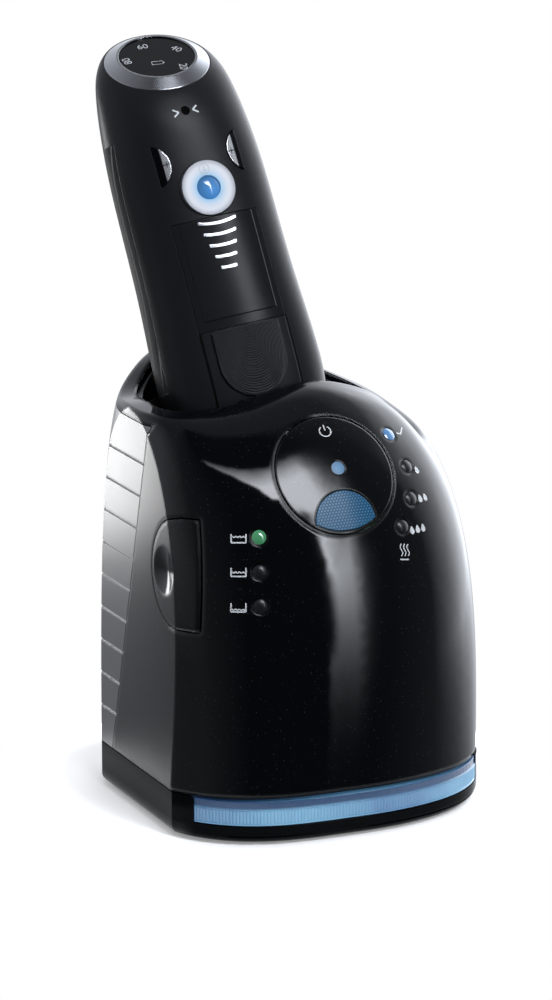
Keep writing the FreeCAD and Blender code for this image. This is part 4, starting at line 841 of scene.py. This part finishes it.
# %% Signs on the shaver
SHAVER_UP = SHAVER_LEAN @ Vector((0, 0, 1))
dim_ink = ink("dim_ink", (0.3, 0.31, 0.33))
case_skin = skin_of("shaver_front_case")
for side in (-1, 1):
    arrow = bmesh.new()
    ribbon(arrow, straight((side * 1.0, 1.35), (-side * 0.9, 0.0)), 0.55)
    ribbon(arrow, straight((side * 1.0, -1.35), (-side * 0.9, 0.0)), 0.55)
    at = on_shaver(side * 3.95, -22, 98) / MM
    name = "sign_arrow_left" if side < 0 else "sign_arrow_right"
    lay(arrow, name, case_skin, at, SHAVER_UP, sign_ink, "shaver")

toggle = bmesh.new()
ribbon(toggle, arc((0, 0), 1.8, 0, 360), 0.22)
ribbon(toggle, arc((0, -0.75), 0.5, 0, 360), 0.2)
ribbon(toggle, straight((0, 0.25), (0, 1.2)), 0.22)
lay(toggle, "sign_toggle", skin_of("shaver_power_button"), on_shaver(0, -22, 75.0) / MM, SHAVER_UP, dim_ink,
    "shaver_power_button")

DISPLAY_TILT = math.radians(42)
DISPLAY_MIDDLE = 118.5
glass_skin = skin_of("shaver_display_glass")


def on_display(right, up):
    """A point just over the glass, and it as a direction, on the shaver's slanted end."""
    return on_shaver(right, up * math.cos(DISPLAY_TILT) - 2.1 * math.sin(DISPLAY_TILT),
                     DISPLAY_MIDDLE + up * math.sin(DISPLAY_TILT) + 2.1 * math.cos(DISPLAY_TILT)) / MM


DIAL_MIDDLE, DIAL_RADIUS, FIGURE_TALL = Vector((-0.8, -1.8)), 10.4, 2.9


def from_dial_middle(angle, distance):
    turn = math.radians(angle)
    return on_display(*(DIAL_MIDDLE + Vector((math.cos(turn), math.sin(turn))) * distance))


# each figure's place round the dial and the way its top points, both in degrees
for figure, angle, top_angle in (("80", 162, 180), ("60", 97, 85), ("40", 26, 32), ("20", -47, -14)):
    number = bmesh.new()
    letters(number, figure, FIGURE_TALL)
    top = from_dial_middle(top_angle, 1.0) - from_dial_middle(top_angle, 0.0)
    at = from_dial_middle(angle, DIAL_RADIUS)
    lay(number, "display_" + figure, glass_skin, at, top, dim_ink, "shaver")

battery = bmesh.new()
ribbon(battery, [Vector(p) for p in ((-2, -1), (2, -1), (2, 1), (-2, 1), (-2, -1))], 0.3)
ribbon(battery, straight((2.3, -0.4), (2.3, 0.4)), 0.4)
battery_top = on_display(0.2, 1) - on_display(0, 0)
lay(battery, "display_battery", glass_skin, on_display(-1.2, -3.6), battery_top, dim_ink, "shaver")
print("signs on the shaver done")

# %% [markdown]
# The front of the cartridge is a long clear window with a fine upright rib every 1.2 millimetres, a
# bright ledge above the ribs and a thin lip at its foot. It is one grid. A fan of rays finds the curve
# of the cartridge's front, and the curve's own length spaces the ribs evenly, also round the corners.

# %% Ribbed window
RIB_STEP, RIB_DEPTH = 1.2, 0.3
WINDOW_HALF_WIDTH = 54.6
# height of each row, how far it stands out, and how much of the ribs it shows
WINDOW_ROWS = [(7.6, 0.08, 0), (7.75, 0.4, 0), (8.15, 0.4, 0), (8.35, 0.12, 0), (8.5, 0.1, 1), (12.9, 0.1, 1),
               (13.05, 0.12, 0), (13.2, 0.45, 0), (13.55, 0.45, 0), (13.75, 0.1, 0), (14.0, 0.08, 0.1),
               (16.0, 0.08, 0.1), (16.2, 0.05, 0)]
tub_skin = skin_of("cartridge_tub")


def on_window(turn, height):
    """The point of the cartridge's front in one direction from its middle, and that direction."""
    out = Vector((math.sin(turn), -math.cos(turn), 0))
    return tub_skin.ray_cast(Vector((0, 0, height * MM)) + out * 0.12, -out, 0.12)[0], out


fan = []
for step in range(-120, 121):
    spot, out = on_window(math.radians(step / 2), 10.0)
    if spot and abs(spot.x) < WINDOW_HALF_WIDTH * MM:
        fan.append((math.radians(step / 2), spot))
lengths = [0.0]
for (_, first), (_, second) in zip(fan, fan[1:]):
    lengths.append(lengths[-1] + (second - first).length / MM)
ribs = round(lengths[-1] / RIB_STEP)


def turn_at(length):
    """The direction of the point that lies a given length along the curve."""
    after = next((k for k, reached in enumerate(lengths) if reached >= length), len(lengths) - 1)
    if after == 0:
        return fan[0][0]
    share = (length - lengths[after - 1]) / (lengths[after] - lengths[after - 1])
    return fan[after - 1][0] + (fan[after][0] - fan[after - 1][0]) * share


turns = [turn_at(lengths[-1] * k / (ribs * 4)) for k in range(ribs * 4 + 1)]
strip = bmesh.new()
grid = bmesh.ops.create_grid(strip, x_segments=ribs * 4, y_segments=len(WINDOW_ROWS) - 1, size=0.5)["verts"]
for vertex in grid:
    column = round((vertex.co.x + 0.5) * ribs * 4)
    height, proud, share = WINDOW_ROWS[round((vertex.co.y + 0.5) * (len(WINDOW_ROWS) - 1))]
    spot, out = on_window(turns[column], height)
    vertex.co = spot + out * (proud + share * RIB_DEPTH * (0.0, 0.75, 1.0, 0.75)[column % 4]) * MM
strip_mesh = bpy.data.meshes.new("cartridge_window")
strip.to_mesh(strip_mesh)
strip.free()
ribbed_window = bpy.data.objects.new("cartridge_window", strip_mesh)
bpy.context.scene.collection.objects.link(ribbed_window)

# The window's colour and emission are a painted glow: pale in the middle of the window, with a slow cloud of
# less glow, and deep blue on the band above the ribs.
ribbed = Finish("ribbed_blue", (0.14, 0.30, 0.50), 0.2, Coat_Weight=0.4)
x, y, z = ribbed.split(ribbed.place())
middle = abs(x + 24.0).rise(30.0, 10.0).most(x.rise(22.0, 46.0)) * 0.65 + 0.35
upper = z.rise(13.2, 14.0)
cloud = ribbed.noise(ribbed.place(), 0.09, 2.0).rise(0.3, 0.7) * 0.3
shade = ribbed.blend((middle - cloud).most(0.0), (0.05, 0.12, 0.22), (0.11, 0.24, 0.34))
ribbed.set("Base Color", ribbed.blend(upper, shade, (0.014, 0.036, 0.08)))
ribbed.set("Coat Weight", (1.0 - upper) * 0.4)
inner_light = ribbed.blend((middle - cloud).most(0.0), (0.02, 0.055, 0.11), (0.045, 0.115, 0.18))
ribbed.set("Emission Color", ribbed.blend(upper, inner_light, (0.006, 0.018, 0.045)))
ribbed.set("Emission Strength", 1.0)
paint(ribbed_window, ribbed)
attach(ribbed_window, "base")
print("window:", ribs, "ribs on", round(lengths[-1], 1), "mm")
